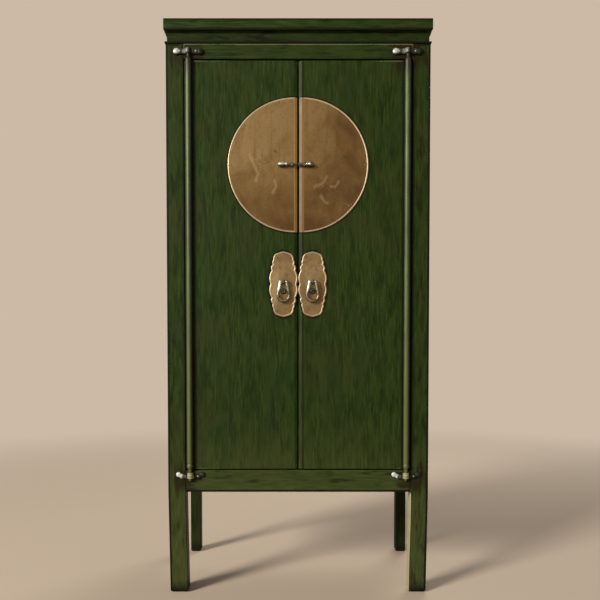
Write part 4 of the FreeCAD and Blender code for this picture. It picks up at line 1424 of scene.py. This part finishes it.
stapleLook = {
    "shank": 0.0029, "legWidth": 0.0045, "legThickness": 0.0018, "soft": 0.0012, "overlap": 0.001,
    "eyeSteps": 32, "shankSegments": 20,
    "lock": (0.00415, 0.0070), "pull": (0.00290, 0.0065),  # bore and outside of each eye
}
splitLegLook = {"arris": 0.0005, "wornBand": 0.001, "segments": 2, "sharpFrom": 0.3}


def addEye(bm, centre, outer, bore, width):
    half, soft = width / 2, stapleLook["soft"]
    ring = [
        (bore, -half + soft / 2), (bore + soft / 2, -half), (outer - soft, -half), (outer, -half + soft),
        (outer, half - soft), (outer - soft, half), (bore + soft / 2, half), (bore, half - soft / 2),
        (bore, -half + soft / 2),
    ]
    addTurned(bm, ring, centre, rightward, upward, stapleLook["eyeSteps"])


def addRound(bm, radius, length, segments, place):  # a round bar, closed at both ends
    bmesh.ops.create_cone(
        bm, cap_ends=True, segments=segments, radius1=radius, radius2=radius, depth=length, matrix=place,
    )


def staplePiece(hand, side, kind):
    look = stapleLook
    low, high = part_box("right_%s_staple" % kind)
    bore, outer = look[kind]
    middle = (low + high) / 2
    back = doorBoard[1].y
    eye = Vector((middle.x, low.y + outer, middle.z))
    bm = startMesh()
    addEye(bm, eye, outer, bore, high.x - low.x)
    length = back - eye.y - bore - look["overlap"]
    place = Matrix.Translation((middle.x, back - length / 2, middle.z))
    place = place @ Matrix.Rotation(math.pi / 2, 4, "X")
    addRound(bm, look["shank"], length, look["shankSegments"], place)
    half = look["legWidth"] / 2
    leg = (middle.x - half, back, low.z), (middle.x + half, back + look["legThickness"], high.z)
    addPlank(bm, *leg, splitLegLook)
    finishPiece(bm, hand + kind.title() + "Staple", "brightBronze", "%s_%s_staple" % (hand, kind), side)


bossLook = {
    "profile": [
        (0.0, 0.0028), (0.0016, 0.0030), (0.0027, 0.0044), (0.0036, 0.0058), (0.0050, 0.0060),
        (0.0064, 0.0054), (0.0076, 0.0040), (0.0082, 0.0026), (0.0090, 0.0020), (0.0095, 0.0008),
        (0.0095, 0.0), (0.0025, 0.0), (0.0025, -0.014), (0.0, -0.014),
    ],
    "seat": 0.002, "steps": 32,
}


def bossPiece(hand, side):
    low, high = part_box("right_pull_boss")
    middle = (low + high) / 2
    centre = Vector((middle.x, frontFace - bossLook["seat"], middle.z))
    bm = startMesh()
    addTurned(bm, bossLook["profile"], centre, outward, rightward, bossLook["steps"])
    # dark bronze, darker than the ring, as painted shade in the middle of the pull
    finishPiece(bm, hand + "PullBoss", "darkBronze", hand + "_pull_boss", side)


ringLook = {
    "wire": 0.0050, "neck": 0.0054, "top": 0.0044, "knob": 0.0060, "barrel": 0.0026, "barrelHalf": 0.010,
    "drop": 0.044, "radius": 0.0185, "steps": 44, "wireSegments": 18, "barrelSegments": 24,
    "voxel": 0.0006, "smooth": 4,
}


def ringPiece(hand, side):
    look = ringLook
    low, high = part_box("right_pull_ring")
    pivot = Vector(((low.x + high.x) / 2, (low.y + high.y) / 2, high.z - look["top"]))
    foot = pivot - upward * look["drop"]
    lean = math.atan2(look["drop"], look["barrelHalf"])
    touch = lean - math.acos(look["radius"] / math.hypot(look["drop"], look["barrelHalf"]))
    out = Vector((math.cos(touch), 0, math.sin(touch)))
    depth = -outward
    bm = startMesh()
    turned = Matrix((out, depth, out.cross(depth))).transposed().to_4x4()
    place = Matrix.Translation(foot + out * look["radius"]) @ turned
    first = bmesh.ops.create_circle(
        bm, segments=look["wireSegments"], radius=look["wire"], matrix=place,
    )["verts"]
    firstEdges = list({edge for vert in first for edge in vert.link_edges})
    last = bmesh.ops.spin(
        bm, geom=first + firstEdges, cent=foot, axis=depth, angle=math.pi + 2 * touch, steps=look["steps"],
    )["geom_last"]
    shrink = look["neck"] / look["wire"]
    for edges, way in ((firstEdges, 1), (onlyEdges(last), -1)):
        end = pivot + rightward * way * look["barrelHalf"]
        start = foot + Vector((way * out.x, 0, out.z)) * look["radius"]
        arm = bmesh.ops.extrude_edge_only(bm, edges=edges)["geom"]
        verts = onlyVerts(arm)
        bmesh.ops.scale(bm, vec=(shrink, shrink, shrink), space=Matrix.Translation(-start), verts=verts)
        bmesh.ops.translate(bm, vec=end - start, verts=verts)
        rim = [edge for edge in onlyEdges(arm) if all(vert in verts for vert in edge.verts)]
        bmesh.ops.contextual_create(bm, geom=rim)
        addBall(bm, end, look["knob"], 1.0)
    barrel = Matrix.Translation(pivot) @ Matrix.Rotation(math.pi / 2, 4, "Y")
    addRound(bm, look["barrel"], 2 * look["barrelHalf"], look["barrelSegments"], barrel)
    bmesh.ops.recalc_face_normals(bm, faces=bm.faces)
    piece = finishPiece(bm, hand + "PullRing", "pullBronze", hand + "_pull_ring", side)
    remelt(piece, look["voxel"], look["smooth"])


for hand, side in sides.items():
    staplePiece(hand, side, "lock")
    staplePiece(hand, side, "pull")
    bossPiece(hand, side)
    ringPiece(hand, side)
print("pulls made")


# bolt and keeper across the meeting line

boltLook = {
    "rod": 0.00385, "nose": 0.0026, "noseLength": 0.0137, "chamfer": 0.0008, "steps": 32,
    "head": 0.0075, "headLength": 0.032, "keeperLength": 0.026, "sleeveBore": 0.0038,
    "rubbedFrom": 0.0050, "highlightBelow": 0.002,
    "knob": [  # shares of the head's radius and length
        (0.0, 0.0), (0.45, 0.01), (0.75, 0.08), (0.95, 0.22), (1.0, 0.40), (0.93, 0.58), (0.72, 0.70),
        (0.70, 0.76), (0.86, 0.83), (0.86, 0.92), (0.72, 1.0),
    ],
}


def knobProfile(look, end, length):  # length runs from the knob's end to its shoulder
    return [(look["head"] * out, end + length * along) for out, along in look["knob"]]


def rubAndHighlightKnob(bm, centre, start, end):  # bright where fingers hold the knob, and a painted highlight: only the upper side is bright
    look = boltLook
    knob = [vert for vert in bm.verts if start < vert.co.x < end]
    knob = [vert for vert in knob if (vert.co - centre).yz.length > look["rubbedFrom"]]
    setWear(bm, [vert for vert in knob if vert.co.z > centre.z - look["highlightBelow"]], 1.0)


def lockCentre(low, high):  # on the bolt's axis, at the meeting line
    return Vector((0, (low.y + high.y) / 2, (low.z + high.z) / 2))


def boltPiece():
    look = boltLook
    low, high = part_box("lock_bolt")
    centre = lockCentre(low, high)
    rod, nose, chamfer = look["rod"], look["nose"], look["chamfer"]
    neck, shoulder = low.x + look["headLength"], high.x - look["noseLength"]
    profile = knobProfile(look, low.x, look["headLength"]) + [
        (rod, neck), (rod, shoulder - chamfer), (rod - chamfer, shoulder),
        (nose, shoulder), (nose, high.x - chamfer), (nose - chamfer, high.x), (0.0, high.x),
    ]
    bm = startMesh()
    addTurned(bm, profile, centre, rightward, upward, look["steps"])
    rubAndHighlightKnob(bm, centre, low.x, neck)
    finishPiece(bm, "lockBolt", "brightBronze", "lock_bolt")


def keeperPieces():
    look = boltLook
    low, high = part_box("right_keeper")
    centre = lockCentre(low, high)
    length = look["keeperLength"]
    neck = high.x - length
    profile = knobProfile(look, high.x, -length) + [(look["rod"], neck), (look["rod"], low.x), (0.0, low.x)]
    bm = startMesh()
    addTurned(bm, profile, centre, rightward, upward, look["steps"])
    # painted highlight on the left half of the keeper's knob only
    rubAndHighlightKnob(bm, centre, neck, high.x - length / 2)
    finishPiece(bm, "rightKeeper", "brightBronze", "right_keeper")
    low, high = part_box("right_keeper_sleeve")
    middle = Vector(((low.x + high.x) / 2, centre.y, centre.z))
    bm = startMesh()
    addEye(bm, middle, (high.z - low.z) / 2, look["sleeveBore"], high.x - low.x)
    finishPiece(bm, "rightKeeperSleeve", "brightBronze", "right_keeper_sleeve")


boltPiece()
keeperPieces()
print("lock made")


# stage, light and camera

stageLook = {
    "pale": (0.60, 0.490, 0.380), "floor": (0.58, 0.475, 0.370), "fade": (1.5, 5.0), "radius": 30.0,
    "ambient": 0.14, "ambientColour": (1.0, 0.97, 0.93), "segments": 96,
}
lampLook = {
    "key": {
        "place": (-7.8, -7.5, 4.9), "aim": (0, -0.2, 0.9), "size": 3.2, "power": 1760.0,
        "colour": (1.0, 0.95, 0.87),
    },
    "fill": {
        "place": (-1.0, -3.8, 1.8), "aim": (0, -0.2, 0.9), "size": 2.6, "power": 10.0,
        "colour": (1.0, 0.97, 0.93),
    },
    "rear": {
        "place": (1.2, 2.8, 2.9), "aim": (0, 0.2, 1.0), "size": 1.8, "power": 60.0,
        "colour": (1.0, 0.97, 0.93),
    },
}
cameraLook = {
    "lens": 39.136, "sensor": 36.0, "shift": (0.0031, 0.1257),
    "place": (0.0, -2.3737, 0.786), "pitch": 1.791,
}


def seenDirectly(tree):  # one for rays from the camera, mirrors and glass
    path = addNode(tree, "ShaderNodeLightPath").outputs
    total = larger(path["Is Camera Ray"], path["Is Glossy Ray"])
    return larger(total, path["Is Transmission Ray"])


def mixSurface(tree, share, first, second, output):
    mix = addNode(tree, "ShaderNodeMixShader", Fac=share)
    tree.links.new(first.outputs[0], mix.inputs[1])
    tree.links.new(second.outputs[0], mix.inputs[2])
    tree.links.new(mix.outputs[0], tree.nodes[output].inputs["Surface"])


def makeWorld():
    look = stageLook
    world = bpy.data.worlds.new("studio")
    world.use_nodes = True
    tree = world.node_tree
    ambient = tree.nodes["Background"]
    ambient.inputs["Color"].default_value = (*look["ambientColour"], 1.0)
    ambient.inputs["Strength"].default_value = look["ambient"]
    shown = addNode(tree, "ShaderNodeBackground", Color=(*look["pale"], 1.0), Strength=1.0)
    mixSurface(tree, seenDirectly(tree), ambient, shown, "World Output")
    bpy.context.scene.world = world


def makeFloor():  # a round floor that fades into the backdrop
    look = stageLook
    material, tree, shader = newMaterial("paleFloor", Roughness=0.9, Specular_IOR_Level=0.1)
    shader.inputs["Base Color"].default_value = (*look["floor"], 1.0)
    far = band(vectorMaths("LENGTH", objectCoords(tree)), *look["fade"])
    fade = times(far, seenDirectly(tree))
    glow = addNode(tree, "ShaderNodeEmission", Color=(*look["pale"], 1.0), Strength=1.0)
    mixSurface(tree, fade, shader, glow, "Material Output")
    bm = bmesh.new()
    bmesh.ops.create_circle(bm, cap_ends=True, segments=look["segments"], radius=look["radius"])
    mesh = bpy.data.meshes.new("floor")
    bm.to_mesh(mesh)
    bm.free()
    mesh.materials.append(material)
    floor = bpy.data.objects.new("floor", mesh)
    bpy.context.scene.collection.objects.link(floor)


def makeLamp(name, look):
    lamp = bpy.data.lights.new(name, "AREA")
    lamp.shape = "DISK"
    lamp.size = look["size"]
    lamp.energy = look["power"]
    lamp.color = look["colour"]
    holder = bpy.data.objects.new(name, lamp)
    holder.location = look["place"]
    ray = Vector(look["aim"]) - Vector(look["place"])
    holder.rotation_euler = ray.to_track_quat("-Z", "Y").to_euler()
    bpy.context.scene.collection.objects.link(holder)


def makeCamera():
    look = cameraLook
    lens = bpy.data.cameras.new("camera")
    lens.lens = look["lens"]
    lens.sensor_width = look["sensor"]
    lens.shift_x, lens.shift_y = look["shift"]
    camera = bpy.data.objects.new("camera", lens)
    camera.location = look["place"]
    camera.rotation_euler = (math.radians(90 - look["pitch"]), 0, 0)
    bpy.context.scene.collection.objects.link(camera)
    bpy.context.scene.camera = camera


makeWorld()
makeFloor()
for name, look in lampLook.items():
    makeLamp(name, look)
makeCamera()
bpy.context.scene.view_settings.view_transform = "Standard"
print("stage, light and camera made")
